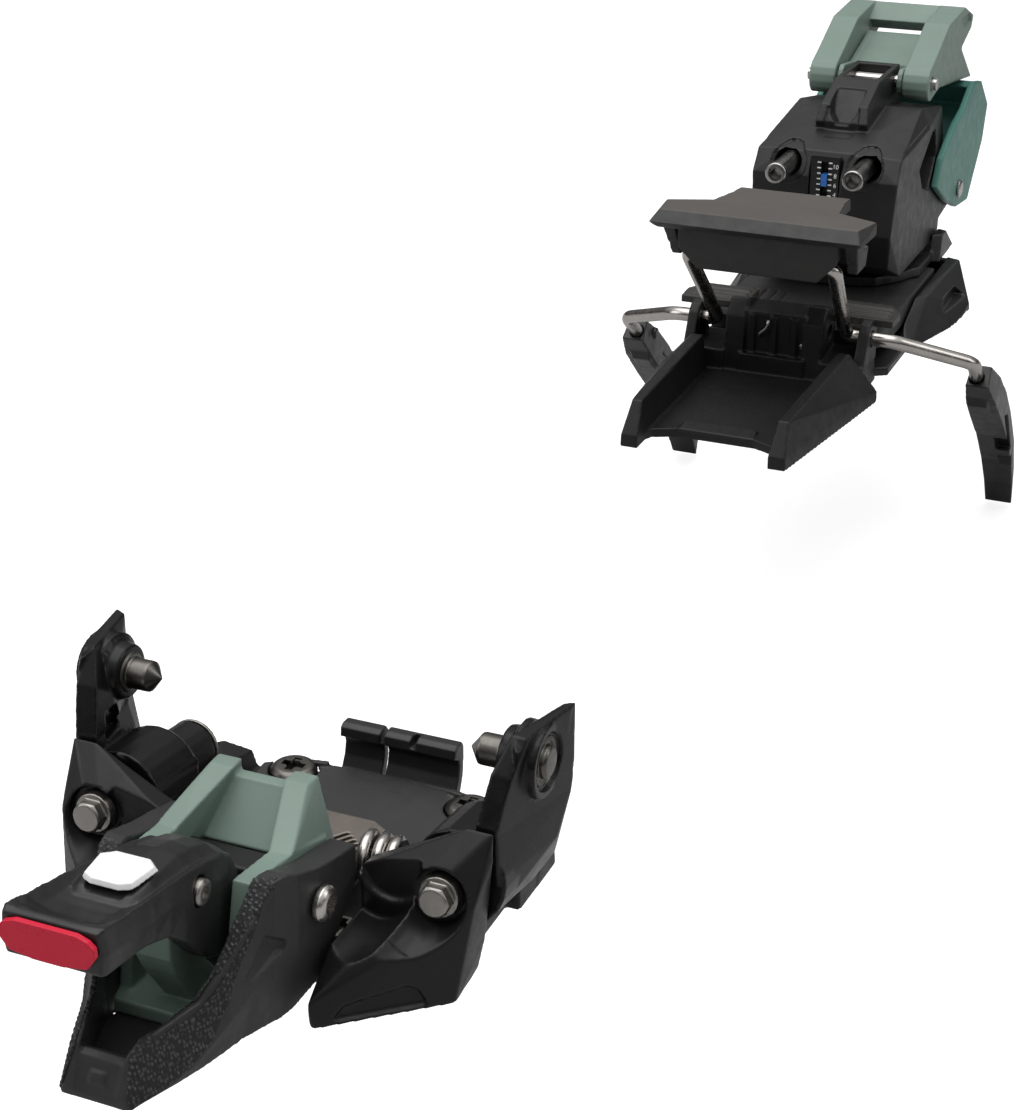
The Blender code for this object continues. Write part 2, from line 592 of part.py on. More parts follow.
# ---- pedal axle and its end screws ------------------------------------------
add("pedal_axle", rod("x", PEDAL_AXIS, -12.6, 12.6, 2.2), "steel", PEDAL_ORIGIN, 40)
pedal_screw = [(20.6, 0), (20.6, 2.5), (20.0, 3.3), (18.8, 3.3), (18.8, 1.6), (13.4, 1.6),
               (13.4, 0)]
for word, sign in SIDES:
    bolt = add(f"pedal_screw_{word}", side(turned("x", PEDAL_AXIS, pedal_screw, 14), sign),
               "steel", PEDAL_ORIGIN, 40)
    # hexagon socket
    cut(bolt, side(rod("x", PEDAL_AXIS, 19.4, 22.0, 1.5, sides=6), sign))

# ---- mode lever: a thumb lever, wide at its nose, on a pin ------------------
# y, half width top, half width bottom, edge z, crown z, bottom z
lever_sections = [
    (-81.9, 8.9, 8.3, 42.0, 42.1, 34.6), (-80.6, 9.3, 8.6, 42.5, 42.4, 34.0),
    (-77.0, 9.2, 8.4, 42.0, 40.4, 33.4), (-70.0, 8.9, 8.2, 40.2, 38.5, 32.0),
    (-63.0, 8.6, 8.4, 38.3, 38.9, 29.6), (-58.0, 8.4, 8.4, 37.4, 38.9, 25.0),
    (-53.0, 8.3, 8.3, 36.4, 38.0, 19.0), (-48.5, 8.2, 8.2, 35.0, 36.8, 16.6),
    (-44.0, 7.8, 8.0, 33.4, 35.0, 18.0), (-40.6, 6.8, 7.2, 31.0, 32.4, 24.0),
]


def lever_ring(y, top, bottom, edge_z, crown_z, bottom_z):
    waist_z = (edge_z + bottom_z) / 2
    shoulder_z = (edge_z + crown_z) / 2 + 0.3
    return [(-bottom, y, bottom_z), (bottom, y, bottom_z), (top, y, waist_z),
            (top - 0.4, y, edge_z - 0.8), (top * 0.62, y, shoulder_z), (0, y, crown_z),
            (-top * 0.62, y, shoulder_z), (-top + 0.4, y, edge_z - 0.8), (-top, y, waist_z)]


lever = add("mode_lever", loft([lever_ring(*section) for section in lever_sections]),
            "black_plastic", LEVER_ORIGIN, 35)
# slot for the yoke's tongue, then the pin bore
cut(lever, block(-4.3, 4.3, [(-66.5, 10.0), (-66.5, 31.5), (-60.0, 36.4), (-48.6, 36.0),
                             (-38.0, 26.0), (-38.0, 10.0)]),
    rod("x", LEVER_AXIS, -20.0, 20.0, 2.55, sides=14))
add("mode_lever_pin", rod("x", LEVER_AXIS, -9.1, 9.1, 2.25, sides=14), "steel",
    LEVER_ORIGIN, 40)

white_badge = [(4.6, -66.6, 39.5), (5.4, -60.4, 39.4), (4.2, -66.3, 40.5), (4.9, -60.8, 40.4),
               (2.6, -67.6, 39.4), (2.3, -67.2, 40.4), (3.3, -58.6, 39.3), (3.0, -59.0, 40.2)]
red_badge = [(8.3, -82.2, 37.6), (6.2, -82.2, 42.0), (6.4, -82.2, 35.0), (8.0, -83.2, 38.2),
             (5.8, -83.2, 41.7), (6.2, -83.2, 35.5)]
add("lever_badge_white", hull(both(white_badge)), "white_plastic", LEVER_ORIGIN)
add("lever_badge_red", hull(both(red_badge)), "red_plastic", LEVER_ORIGIN)

# =============================== HEEL UNIT ===================================
# ---- front tray that also carries the brake ---------------------------------
tray_half = [(11.0, 234.0), (17.6, 231.0), (19.6, 226.0), (21.0, 232.0), (24.0, 276.0),
             (24.0, 299.0)]
tray_wall = [(18.6, 221.6, -1.0), (23.6, 221.6, -1.0), (18.6, 221.6, 3.4), (23.4, 221.6, 3.4),
             (19.4, 227.4, 12.0), (22.3, 227.4, 12.0), (20.4, 283.0, 13.2), (24.0, 283.0, 13.2),
             (33.2, 282.3, -1.0), (32.9, 283.0, 3.0), (18.6, 283.0, -1.0)]
tray_foot = [(14.6, 283.6, -1.0), (28.4, 283.6, -1.0), (28.0, 300.4, -1.0),
             (14.6, 300.4, -1.0), (14.6, 284.6, 8.6), (27.4, 284.6, 8.6), (27.0, 300.4, 9.6),
             (14.6, 300.4, 9.6)]
# end cheek around the brake axle
CHEEK_XS = (24.4, 27.6)
tray_cheek = [(x, y, 7.0) for y in (284.6, 300.4) for x in CHEEK_XS]
tray_cheek += [(x, y, z) for x in CHEEK_XS for y, z in arc(BRAKE_AXIS, 5.6, 0, 180, 6)]
# (y, z)
tray_tower = [(284.4, 1.0), (300.4, 1.0), (300.4, 16.0), (298.0, 21.6), (291.0, 23.4),
              (286.4, 19.0)]

tray = add("brake_tray", plate(symmetric(tray_half), PLATE_LOW, HEEL_PLATE_TOP),
           "black_plastic")
join_sides(tray, hull(tray_wall), hull(tray_foot), hull(tray_cheek),
           block(8.8, 14.8, tray_tower))
# low wall between the towers
join(tray, box(-10.0, 10.0, 284.4, 287.4, 1.0, 8.4))
ground(tray)
cut_sides(tray, rod("x", BRAKE_AXIS, 8.0, 30.0, WIRE_BORE_R))

# ---- brake wires, tips and spring -------------------------------------------
wire_path = [(12.0, *BRAKE_PEDAL_AXIS), (21.6, *BRAKE_PEDAL_AXIS), (19.6, *BRAKE_AXIS),
             (33.6, *BRAKE_AXIS), (54.9, 310.7, 5.3), (52.2, 355.0, -32.2)]
# centre x, y, z, width, height
tip_sections = [
    (55.1, 319.6, -1.6, 7.0, 7.4), (55.4, 328.0, -8.6, 9.4, 10.0),
    (55.6, 339.0, -17.6, 10.0, 10.6), (55.7, 350.0, -27.4, 10.0, 9.6),
    (55.8, 362.0, -41.0, 10.0, 8.0), (55.6, 370.6, -53.0, 9.4, 6.6),
    (55.3, 376.0, -63.0, 8.8, 5.2),
]
TIP_UP_Y, TIP_UP_Z = 0.72, 0.69     # direction of a section's height
TIP_TOP_TAPER = 0.85                # top width over bottom width


def tip_ring(x, y, z, width, height):
    bottom, top = width / 2, width / 2 * TIP_TOP_TAPER
    rise_y, rise_z = TIP_UP_Y * height / 2, TIP_UP_Z * height / 2
    return [(x - bottom, y - rise_y, z - rise_z), (x + bottom, y - rise_y, z - rise_z),
            (x + top, y + rise_y, z + rise_z), (x - top, y + rise_y, z + rise_z)]


for word, sign in SIDES:
    wire = tube(rounded(wire_path, WIRE_BEND_R), WIRE_R)
    add(f"brake_wire_{word}", side(wire, sign), "chrome", BRAKE_ORIGIN, 60)
    tip = add(f"brake_tip_{word}", side(loft([tip_ring(*row) for row in tip_sections]), sign),
              "black_plastic", BRAKE_ORIGIN, 35)
    cut(tip, side(tube(rounded(wire_path[3:], WIRE_BEND_R), WIRE_R + 0.3), sign))

add("brake_spring", coil("x", BRAKE_AXIS, -7.6, 7.6, radius=4.2, wire=0.8, turns=6.0),
    "steel", BRAKE_ORIGIN, 60)

# ---- brake pedal ------------------------------------------------------------
pedal_top = [(28.7, 264.1, 55.6), (31.0, 278.2, 54.9), (21.0, 287.9, 54.2), (16.3, 301.7, 53.6)]
pedal_under = [(x, y + 0.8, z - 3.6) for x, y, z in pedal_top[1:]]
pedal_front = [(30.4, 259.8, 52.8), (28.6, 262.6, 50.6), (30.6, 262.6, 51.4)]
pedal_core = [(23.2, 264.0, 51.4), (23.2, 284.0, 51.4), (17.6, 265.2, 39.0),
              (17.6, 275.6, 39.0), (23.2, 264.4, 45.0)]
pedal_flank = [(24.4, 264.6, 51.8), (28.6, 265.0, 51.8), (24.4, 286.0, 51.2),
               (27.0, 286.0, 51.2), (24.6, 272.0, 40.6), (27.4, 272.0, 40.6),
               (24.6, 281.0, 40.6), (27.4, 281.0, 40.6)]
# slot for the wire's arm, (y, z)
pedal_slot = [(266.0, 38.0), (266.0, 45.2), (269.0, 46.0), (274.0, 44.0), (284.0, 36.0)]

pedal = add("brake_pedal", hull(both(pedal_top + pedal_under + pedal_front)),
            "pedal_plastic", BRAKE_PEDAL_ORIGIN)
join(pedal, hull(both(pedal_core)))
for _, sign in SIDES:
    join(pedal, side(hull(pedal_flank), sign))
    cut(pedal, side(rod("x", BRAKE_PEDAL_AXIS, 11.4, 30.0, WIRE_BORE_R), sign))
    cut(pedal, side(block(18.2, 24.1, pedal_slot), sign))

# ---- rear track screwed to the ski ------------------------------------------
track_half = [(24.0, 300.8), (30.6, 305.0), (30.6, 330.0), (29.4, 336.0), (29.4, 388.0),
              (24.0, 393.6)]
track_flank = [(27.4, 328.0, -1.0), (31.3, 327.0, -1.0), (38.8, 355.6, -1.0),
               (39.7, 376.0, -1.0), (39.4, 376.0, 2.0), (34.0, 394.0, -1.0),
               (27.4, 395.6, -1.0), (27.4, 336.0, 6.8), (27.4, 348.0, 11.0),
               (27.4, 394.6, 11.0), (31.6, 393.0, 11.0), (30.4, 352.0, 10.4)]
# notch in the flank's outer face, (y, z)
track_notch = [(356.0, 4.0), (378.0, 4.0), (362.0, 7.4), (376.0, 7.4)]

track = add("heel_track", plate(symmetric(track_half), PLATE_LOW, HEEL_PLATE_TOP),
            "black_plastic")
join_sides(track, hull(track_flank))
cut_sides(track, block(33.6, 45.0, track_notch))
# rear wall that the adjuster screw passes through
join(track, box(-28.4, 28.4, 391.6, 395.2, 1.0, 10.4))
ground(track)
cut(track, rod("y", TRACK_SCREW_AXIS, 380.0, 400.0, TRACK_SCREW_BORE_R))
cut_sides(track, *[rod("z", (HEEL_SCREW_X, y), -4.0, 9.0, 2.8)
                   for y in HEEL_SCREW_YS.values()])
for word, sign in SIDES:
    for where, y in HEEL_SCREW_YS.items():
        screw_part(f"heel_screw_{where}_{word}", sign * HEEL_SCREW_X, y, top=4.9,
                   head_r=4.0, head_h=1.9, shank_r=2.4, depth=11.0)

# ---- carriage that slides on the track --------------------------------------
GROOVE_COUNT, GROOVE_FIRST_X, GROOVE_PITCH = 4, 10.0, 3.4

carriage = add("heel_carriage", box(-26.8, 26.8, 314.0, 378.0, 5.2, 11.8), "black_plastic")
# wedge at the front, then the keel under the body
join(carriage, hull(both([(25.6, 306.6, 7.2), (26.8, 314.2, 5.4), (26.8, 314.2, 11.8),
                          (25.6, 306.6, 11.8)])))
join(carriage, box(-12.0, 12.0, 330.0, 372.0, 2.9, 6.0))
cut(carriage, rod("y", TRACK_SCREW_AXIS, 300.0, 390.0, TRACK_SCREW_BORE_R))
cut(carriage, rod("z", TURRET_AXIS, 9.4, 14.0, 6.4, sides=16))
for _, sign in SIDES:
    for k in range(GROOVE_COUNT):
        x = sign * (GROOVE_FIRST_X + GROOVE_PITCH * k)
        cut(carriage, box(x - 0.5, x + 0.5, 311.0, 336.0, 11.3, 12.6))

# ---- length adjuster screw --------------------------------------------------
adjuster = add("length_adjuster_screw",
               rod("y", TRACK_SCREW_AXIS, 318.0, 399.0, 2.6, sides=14), "steel",
               (0, 360, TRACK_SCREW_Z), 40)
join(adjuster, rod("y", TRACK_SCREW_AXIS, 396.4, 399.6, 4.0, sides=16))
cut(adjuster, box(-3.2, 3.2, 398.4, 402.0, TRACK_SCREW_Z - 0.6, TRACK_SCREW_Z + 0.6))

# ---- turret base ------------------------------------------------------------
turret_cheek = [(23.4, 382.0, 12.1), (26.9, 384.0, 12.1), (23.4, 406.0, 12.1),
                (26.4, 406.0, 12.1), (23.4, 386.0, 20.4), (26.4, 388.0, 20.2),
                (23.4, 394.0, 20.4), (26.2, 394.0, 20.0)]

turret = add("turret_base", rod("z", TURRET_AXIS, DISC_LOW, DISC_TOP, 23.5, sides=36),
             "black_plastic", TURRET_ORIGIN, 35)
# spigot in the carriage
join(turret, rod("z", TURRET_AXIS, 9.8, 13.0, 6.0, sides=16))
join(turret, hull(both([
    (14.0, 350.0, DISC_LOW), (24.5, 366.0, DISC_LOW), (24.5, 392.0, DISC_LOW),
    (14.0, 350.0, DISC_TOP), (24.5, 366.0, DISC_TOP), (24.5, 392.0, DISC_TOP),
    (20.0, 402.0, DISC_LOW), (20.0, 402.0, DISC_TOP)])))
# raised cheeks of the base beside the housing
join_sides(turret, hull(turret_cheek))
join(turret, box(-24.0, 24.0, 398.0, 404.0, DISC_LOW, DISC_TOP))

# ---- heel housing -----------------------------------------------------------
housing_body = [(22.6, 337.4, 56.6), (22.8, 333.0, 50.0), (22.0, 332.0, 33.6),
                (20.4, 338.0, 22.0), (22.6, 346.0, 17.6), (22.8, 396.0, 17.6),
                (22.8, 398.0, 40.0), (20.6, 398.0, 60.0), (19.8, 372.0, 64.6),
                (22.8, 372.0, 58.6), (22.8, 352.0, 56.6), (12.0, 337.0, 57.4),
                (12.0, 352.0, 61.6)]
housing_ridge = [(8.2, 351.0, 59.0), (8.2, 349.0, 63.4), (7.4, 352.0, 68.4),
                 (7.2, 366.0, 73.4), (7.2, 392.0, 73.6), (8.4, 392.0, 60.0)]
# recess in the ridge's front, (x, z)
ridge_recess = [(-5.2, 67.6), (5.2, 67.6), (5.6, 62.6), (-5.6, 62.6), (-4.2, 59.6), (4.2, 59.6)]
# window in each side wall, (y, z)
side_window = [(362.0, 47.5), (368.0, 40.5), (376.0, 38.0), (384.0, 47.0), (384.0, 56.0),
               (376.0, 56.0)]
# rear lug that the frame is screwed to
housing_lug = [(22.7, 390.0, 22.0), (22.7, 390.0, 40.0), (22.7, 416.0, 25.0),
               (22.7, 417.6, 34.0), (17.0, 390.0, 22.0), (17.0, 416.0, 25.0),
               (17.0, 417.6, 34.0), (17.0, 390.0, 40.0)]

housing = add("heel_housing", hull(both(housing_body)), "black_plastic", TURRET_ORIGIN, 30)
join(housing, hull(both(housing_ridge)))
join(housing, rod("z", TURRET_AXIS, 15.5, 19.0, 21.0, sides=28))
# trough along the ridge's top
cut(housing, box(-5.4, 5.4, 369.0, 389.6, 67.0, 80.0))
cut(housing, hull([(x, y, z) for x, z in ridge_recess for y in (340.0, 354.0)]))
# each side: window, then a pocket for the pin and its swing
cut_sides(housing, block(17.0, 30.0, side_window),
          rod("y", (HEEL_PIN_X, HEEL_PIN_Z), 325.0, 350.5, 5.8, sides=16))
# recess for the release scale, then bores for the two screws and the lifter axle
cut(housing, box(-4.8, 4.8, 328.0, 336.0, 42.0, 60.0))
cut(housing, rod("z", VERTICAL_SCREW_AXIS, 40.0, 70.0, 4.5, sides=16))
cut(housing, rod("y", LATERAL_AXIS, 352.0, 402.0, 7.6, sides=18))
cut(housing, rod("x", LIFT_AXIS, -14.0, 14.0, LIFT_BORE_R))
join_sides(housing, hull(housing_lug))
cut(housing, rod("y", LATERAL_AXIS, 399.0, 430.0, 9.0, sides=18))
cut_sides(housing, rod("x", FRAME_SCREW_AXIS, 16.0, 30.0, FRAME_SCREW_BORE_R))

# ---- heel pins: (y, radius) -------------------------------------------------
heel_pin = [(349.6, 0), (349.6, 3.4), (347.0, 4.6), (337.5, 4.6), (336.5, 3.9), (330.0, 3.9),
            (329.4, 3.1), (321.2, 3.1), (HEEL_PIN_TIP_Y, 2.5), (HEEL_PIN_TIP_Y, 0)]
for word, sign in SIDES:
    pin_axis = (sign * HEEL_PIN_X, HEEL_PIN_Z)
    pin = add(f"heel_pin_{word}", turned("y", pin_axis, heel_pin, 24), "steel",
              on_axis("y", pin_axis, HEEL_PIN_PIVOT_Y), 30)
    cut(pin, rod("y", pin_axis, 318.0, HEEL_PIN_TIP_Y + 2.5, 1.8, sides=14))

# ---- release scale and indicator on the front: (x, z) -----------------------
scale_outline = [(-4.4, 42.4), (4.4, 42.4), (4.4, 56.6), (-4.4, 56.6)]
scale_window = [(-1.2, 44.0), (1.2, 44.0), (1.2, 55.0), (-1.2, 55.0)]
add("release_scale", plate(scale_outline, 333.4, 335.6, "y", holes=[scale_window]),
    "black_plastic", TURRET_ORIGIN)
add("release_indicator", box(-0.9, 0.9, 332.6, 335.4, 47.6, 51.2), "blue_plastic",
    (0, 334.0, 49.4))

# ---- release screws and spring: (distance along the axis, radius) -----------
vertical_profile = [(69.4, 0), (69.4, 3.6), (68.6, 4.0), (66.4, 4.0), (66.4, 2.6), (43.0, 2.6),
                    (43.0, 0)]
lateral_profile = [(402.6, 0), (402.6, 5.4), (402.0, 6.2), (398.6, 6.2), (398.6, 3.0),
                   (372.0, 3.0), (372.0, 0)]
vertical = add("vertical_release_screw",
               turned("z", VERTICAL_SCREW_AXIS, vertical_profile, 16), "steel",
               (*VERTICAL_SCREW_AXIS, 60.0), 35)
cut(vertical, box(-3.0, 3.0, 378.5, 379.5, 68.4, 71.0))
lateral = add("lateral_release_screw", turned("y", LATERAL_AXIS, lateral_profile, 16), "steel",
              (0, 390.0, LATERAL_SCREW_Z), 35)
cut(lateral, box(-4.4, 4.4, 401.4, 404.0, LATERAL_SCREW_Z - 0.6, LATERAL_SCREW_Z + 0.6))
add("release_spring", coil("y", LATERAL_AXIS, 357.0, 394.0, radius=5.2, wire=1.1, turns=6.0),
    "steel", (0, 375.0, LATERAL_SCREW_Z), 60)

# ---- green frame around the rear of the turret: (y, z) ----------------------
frame_cheek = [(399.0, 53.6), (412.0, 56.6), (424.0, 62.4), (436.0, 60.6), (450.0, 50.0),
               (446.0, 38.0), (428.8, 21.4), (411.0, 23.4), (396.0, 29.0), (378.0, 38.4),
               (383.0, 46.6)]
frame_back = [(428.0, 23.0), (430.4, 21.8), (446.6, 39.0), (449.6, 50.0), (446.0, 50.6),
              (443.0, 40.0)]
frame_top = [(446.0, 50.0), (449.4, 50.2), (436.0, 60.4), (433.0, 58.6)]
# (x, radius)
frame_screw = [(26.6, 0), (26.6, 2.2), (26.2, 3.0), (25.7, 3.0), (25.7, 1.8), (18.0, 1.8),
               (18.0, 0)]

frame = add_side_plates("rear_frame", frame_cheek, FRAME_INNER_X, FRAME_OUTER_X,
                        "green_plastic", TURRET_ORIGIN)
join(frame, block(-24.6, 24.6, frame_back), block(-24.6, 24.6, frame_top))
cut_sides(frame, rod("x", FRAME_SCREW_AXIS, 20.0, 30.0, FRAME_SCREW_BORE_R))
for word, sign in SIDES:
    add(f"frame_screw_{word}", side(turned("x", FRAME_SCREW_AXIS, frame_screw, 14), sign),
        "steel", TURRET_ORIGIN, 40)

# ---- lifters: two nested U shapes on one axle, arms in (y, z) ---------------
high_arm = arc(LIFT_AXIS, 5.6, 120, 264, 6) + [
    (391.6, 65.1), (397.5, 65.8), (446.8, 59.5), (427.0, 72.9), (439.9, 77.2), (442.1, 81.3),
    (428.0, 86.2), (406.0, 84.6), (389.0, 77.0)]
high_bridge = [(428.0, 86.1), (420.4, 81.4), (426.0, 77.6), (439.8, 77.3), (441.9, 81.3)]
low_arm = arc(LIFT_AXIS, 4.4, 110, 306, 7) + [
    (394.0, 68.6), (417.0, 74.2), (418.4, 78.4), (396.0, 72.4)]
low_bridge = [(395.6, 69.2), (416.8, 74.4), (418.2, 78.2), (396.6, 72.4)]
lift_holes = [ring_hole(LIFT_AXIS, LIFT_BORE_R)]

add("lifter_axle", rod("x", LIFT_AXIS, -21.0, 21.0, LIFT_AXLE_R), "steel", LIFT_ORIGIN, 40)
high_lifter = add_side_plates("high_lifter", high_arm, 11.0, 19.5, "sage_plastic",
                              LIFT_ORIGIN, lift_holes)
join(high_lifter, block(-18.0, 18.0, high_bridge))
low_lifter = add_side_plates("low_lifter", low_arm, 8.9, 10.6, "sage_plastic",
                             LIFT_ORIGIN, lift_holes)
join(low_lifter, block(-9.9, 9.9, low_bridge))
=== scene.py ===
"""A touring ski binding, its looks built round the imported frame.

x runs across the ski, y backwards from the toe pins and z up. "Right" is the +x side.
The front lever lies at about y = -80, the heel unit from y = 290 to 440.
Shapes are given in millimetres, while materials and the stage are in metres.
"""
import json
import math

import bmesh
import bpy
from mathutils import Matrix, Vector
from mathutils.bvhtree import BVHTree

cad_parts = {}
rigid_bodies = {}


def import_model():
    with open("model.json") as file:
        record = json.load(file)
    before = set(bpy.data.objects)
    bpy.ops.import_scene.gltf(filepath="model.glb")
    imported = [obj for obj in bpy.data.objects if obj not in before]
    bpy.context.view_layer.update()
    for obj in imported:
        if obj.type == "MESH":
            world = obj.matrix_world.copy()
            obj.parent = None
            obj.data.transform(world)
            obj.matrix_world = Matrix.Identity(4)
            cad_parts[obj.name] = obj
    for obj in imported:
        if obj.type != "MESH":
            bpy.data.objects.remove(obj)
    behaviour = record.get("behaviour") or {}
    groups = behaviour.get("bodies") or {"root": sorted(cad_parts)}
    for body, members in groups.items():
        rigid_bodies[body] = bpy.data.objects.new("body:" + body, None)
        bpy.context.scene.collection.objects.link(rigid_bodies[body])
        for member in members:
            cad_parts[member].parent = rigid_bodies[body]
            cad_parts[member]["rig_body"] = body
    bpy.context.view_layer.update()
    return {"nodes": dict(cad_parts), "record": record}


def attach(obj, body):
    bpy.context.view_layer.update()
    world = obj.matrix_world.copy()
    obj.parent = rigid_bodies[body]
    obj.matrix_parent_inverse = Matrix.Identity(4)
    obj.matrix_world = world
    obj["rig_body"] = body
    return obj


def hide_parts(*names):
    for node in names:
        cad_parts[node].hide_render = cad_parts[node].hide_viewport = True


MILLIMETRE = 0.001
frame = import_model()
NODES = frame["nodes"]
BODY = {name: item["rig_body"] for name, item in NODES.items()}
SLOT = {part["node"]: part["material_slot"] for part in frame["record"]["subparts"]}
SIDES = (("right", 1), ("left", -1))

# axes shared by several pieces
PIN_Z = 35.5  # toe pins, along x at y = 0
AXLE_X, AXLE_Z, AXLE_SLOPE = 34.4, 15.04, -0.1267  # jaw axles, z = AXLE_Z + AXLE_SLOPE * y
LEVER_PIVOT = (-53.4, 32.0)  # y, z
BRAKE_PIVOT = (294.5, 14.6)  # y, z
HEEL_PIN_X, HEEL_PIN_Z = 11.9, 53.3


# ------------------------------------------------------------- shape helpers
def to_mesh(shape, name):
    mesh = bpy.data.meshes.new(name)
    shape.to_mesh(mesh)
    shape.free()
    return mesh


def finish(shape):
    bmesh.ops.recalc_face_normals(shape, faces=shape.faces)
    return to_mesh(shape, "shape")


def add_object(name, data):
    item = bpy.data.objects.new(name, data)
    bpy.context.scene.collection.objects.link(item)
    return item


def evaluated(item):
    """A new mesh of an object with its modifiers applied."""
    graph = bpy.context.evaluated_depsgraph_get()
    graph.update()
    return bpy.data.meshes.new_from_object(item.evaluated_get(graph))


def flipped(points):
    return [(-x, y, z) for x, y, z in points]


def both(points):
    return points + flipped(points)


def ring(centre_u, centre_v, radius, count):
    turns = [math.tau * k / count for k in range(count)]
    return [(centre_u + radius * math.cos(t), centre_v + radius * math.sin(t)) for t in turns]


def hull(points):
    shape = bmesh.new()
    for point in points:
        shape.verts.new(point)
    made = bmesh.ops.convex_hull(shape, input=shape.verts)
    spare = made["geom_interior"] + made["geom_unused"]
    loose = {item for item in spare if isinstance(item, bmesh.types.BMVert)}
    bmesh.ops.delete(shape, geom=list(loose), context="VERTS")
    return finish(shape)


def box(x0, x1, y0, y1, z0, z1):
    return hull([(x, y, z) for x in (x0, x1) for y in (y0, y1) for z in (z0, z1)])


def prism(axis, low, high, outline):
    """A convex outline, in the two other axes, swept along one axis."""
    put = {"x": lambda t, u, v: (t, u, v),
           "y": lambda t, u, v: (u, t, v),
           "z": lambda t, u, v: (u, v, t)}[axis]
    return hull([put(t, u, v) for t in (low, high) for u, v in outline])


def lay_along(shape, start, end):
    """Moves a shape standing on the origin so that it runs from start towards end."""
    lean = (end - start).to_track_quat("Z", "X").to_matrix().to_4x4()
    bmesh.ops.transform(shape, matrix=Matrix.Translation(start) @ lean, verts=shape.verts)


def cone(start, end, radius, radius_end=None, sides=32):
    start, end = Vector(start), Vector(end)
    length = (end - start).length
    shape = bmesh.new()
    bmesh.ops.create_cone(shape, cap_ends=True, segments=sides, depth=length, radius1=radius,
                          radius2=radius if radius_end is None else radius_end)
    bmesh.ops.translate(shape, vec=(0, 0, length / 2), verts=shape.verts)
    lay_along(shape, start, end)
    return finish(shape)


def rod(centre, start, end, radius, radius_end=None):
    """A rod along x; centre is (y, z)."""
    return cone((start, *centre), (end, *centre), radius, radius_end, sides=40)


def slant(start, end, radius, radius_end=None, sides=48):
    """A rod on the right jaw axle, between two y values."""
    ends = [(AXLE_X, y, AXLE_Z + AXLE_SLOPE * y) for y in (start, end)]
    return cone(*ends, radius, radius_end, sides)


def lathe(start, end, profile, steps=64):
    """A turned piece towards end; profile is (distance from start, radius)."""
    shape = bmesh.new()
    rows = []
    for height, radius in profile:
        spots = ring(0, 0, radius, steps) if radius else [(0, 0)]
        rows.append([shape.verts.new((x, y, height)) for x, y in spots])
    for low, high in zip(rows, rows[1:]):
        for k in range(steps):
            j = (k + 1) % steps
            if len(low) == 1:
                shape.faces.new((low[0], high[j], high[k]))
            elif len(high) == 1:
                shape.faces.new((low[k], low[j], high[0]))
            else:
                shape.faces.new((low[k], low[j], high[j], high[k]))
    lay_along(shape, Vector(start), Vector(end))
    return finish(shape)


def eased(path, radius, share, steps):
    """A path with rounded corners, each using at most a share of the lines beside it."""
    out = [path[0]]
    for before, corner, after in zip(path, path[1:], path[2:]):
        corner = Vector(corner)
        back, ahead = Vector(before) - corner, Vector(after) - corner
        reach = min(radius, back.length * share, ahead.length * share)
        start = corner + back.normalized() * reach
        end = corner + ahead.normalized() * reach
        for k in range(steps + 1):
            t = k / steps
            out.append(tuple(start * (1 - t) ** 2 + corner * 2 * t * (1 - t) + end * t ** 2))
    out.append(path[-1])
    return out


def softened(profile, radius=0.2):
    return eased(profile, radius, share=0.4, steps=3)


def rounded(path, radius):
    return eased(path, radius, share=0.45, steps=10)


def drawn(dimensions, points):
    """A curve of straight lines through 3D points."""
    curve = bpy.data.curves.new("outline", "CURVE")
    curve.dimensions = dimensions
    spline = curve.splines.new("POLY")
    spline.points.add(len(points) - 1)
    for spot, point in zip(spline.points, points):
        spot.co = (*point, 1.0)
    return curve


def from_curve(curve):
    holder = add_object("outline", curve)
    made = evaluated(holder)
    bpy.data.objects.remove(holder, do_unlink=True)
    shape = bmesh.new()
    shape.from_mesh(made)
    bmesh.ops.remove_doubles(shape, verts=shape.verts, dist=0.0005)
    return shape


def upright_plate(outline, low, high):
    """An (x, z) outline filled between two y values."""
    curve = drawn("2D", [(x, z, 0.0) for x, z in outline])
    curve.fill_mode = "BOTH"
    curve.extrude = (high - low) / 2
    curve.splines[0].use_cyclic_u = True
    shape = from_curve(curve)
    middle = (low + high) / 2
    turn = Matrix(((1, 0, 0, 0), (0, 0, 1, middle), (0, 1, 0, 0), (0, 0, 0, 1)))
    bmesh.ops.transform(shape, matrix=turn, verts=shape.verts)
    return finish(shape)


def tube(points, radius, resolution=6):
    curve = drawn("3D", points)
    curve.bevel_depth = radius
    curve.bevel_resolution = resolution
    curve.use_fill_caps = True
    return finish(from_curve(curve))


def coil(centre, start, end, radius, wire, turns):
    """A spring along x, its turns closer at the middle than at the ends."""
    per_turn, crowding = 28, 0.035
    count = int(turns * per_turn)
    points = []
    for i in range(count + 1):
        t = i / count
        x = start + (end - start) * (t + crowding * math.sin(math.tau * t))
        angle = math.tau * turns * t
        y, z = centre[0] + radius * math.cos(angle), centre[1] + radius * math.sin(angle)
        points.append((x, y, z))
    return tube(points, wire, 4)


def loft(rings):
    shape = bmesh.new()
    rows = [[shape.verts.new(point) for point in points] for points in rings]
    for low, high in zip(rows, rows[1:]):
        for i in range(len(low)):
            j = (i + 1) % len(low)
            shape.faces.new((low[i], low[j], high[j], high[i]))
    shape.faces.new(list(reversed(rows[0])))
    shape.faces.new(rows[-1])
    bmesh.ops.triangulate(shape, faces=shape.faces)
    return finish(shape)


def side(mesh, sign):
    """The mesh itself for +1, its mirror image in x for -1."""
    if sign > 0:
        return mesh
    shape = bmesh.new()
    shape.from_mesh(mesh)
    bmesh.ops.scale(shape, vec=(-1, 1, 1), verts=shape.verts)
    bmesh.ops.reverse_faces(shape, faces=shape.faces)
    return finish(shape)


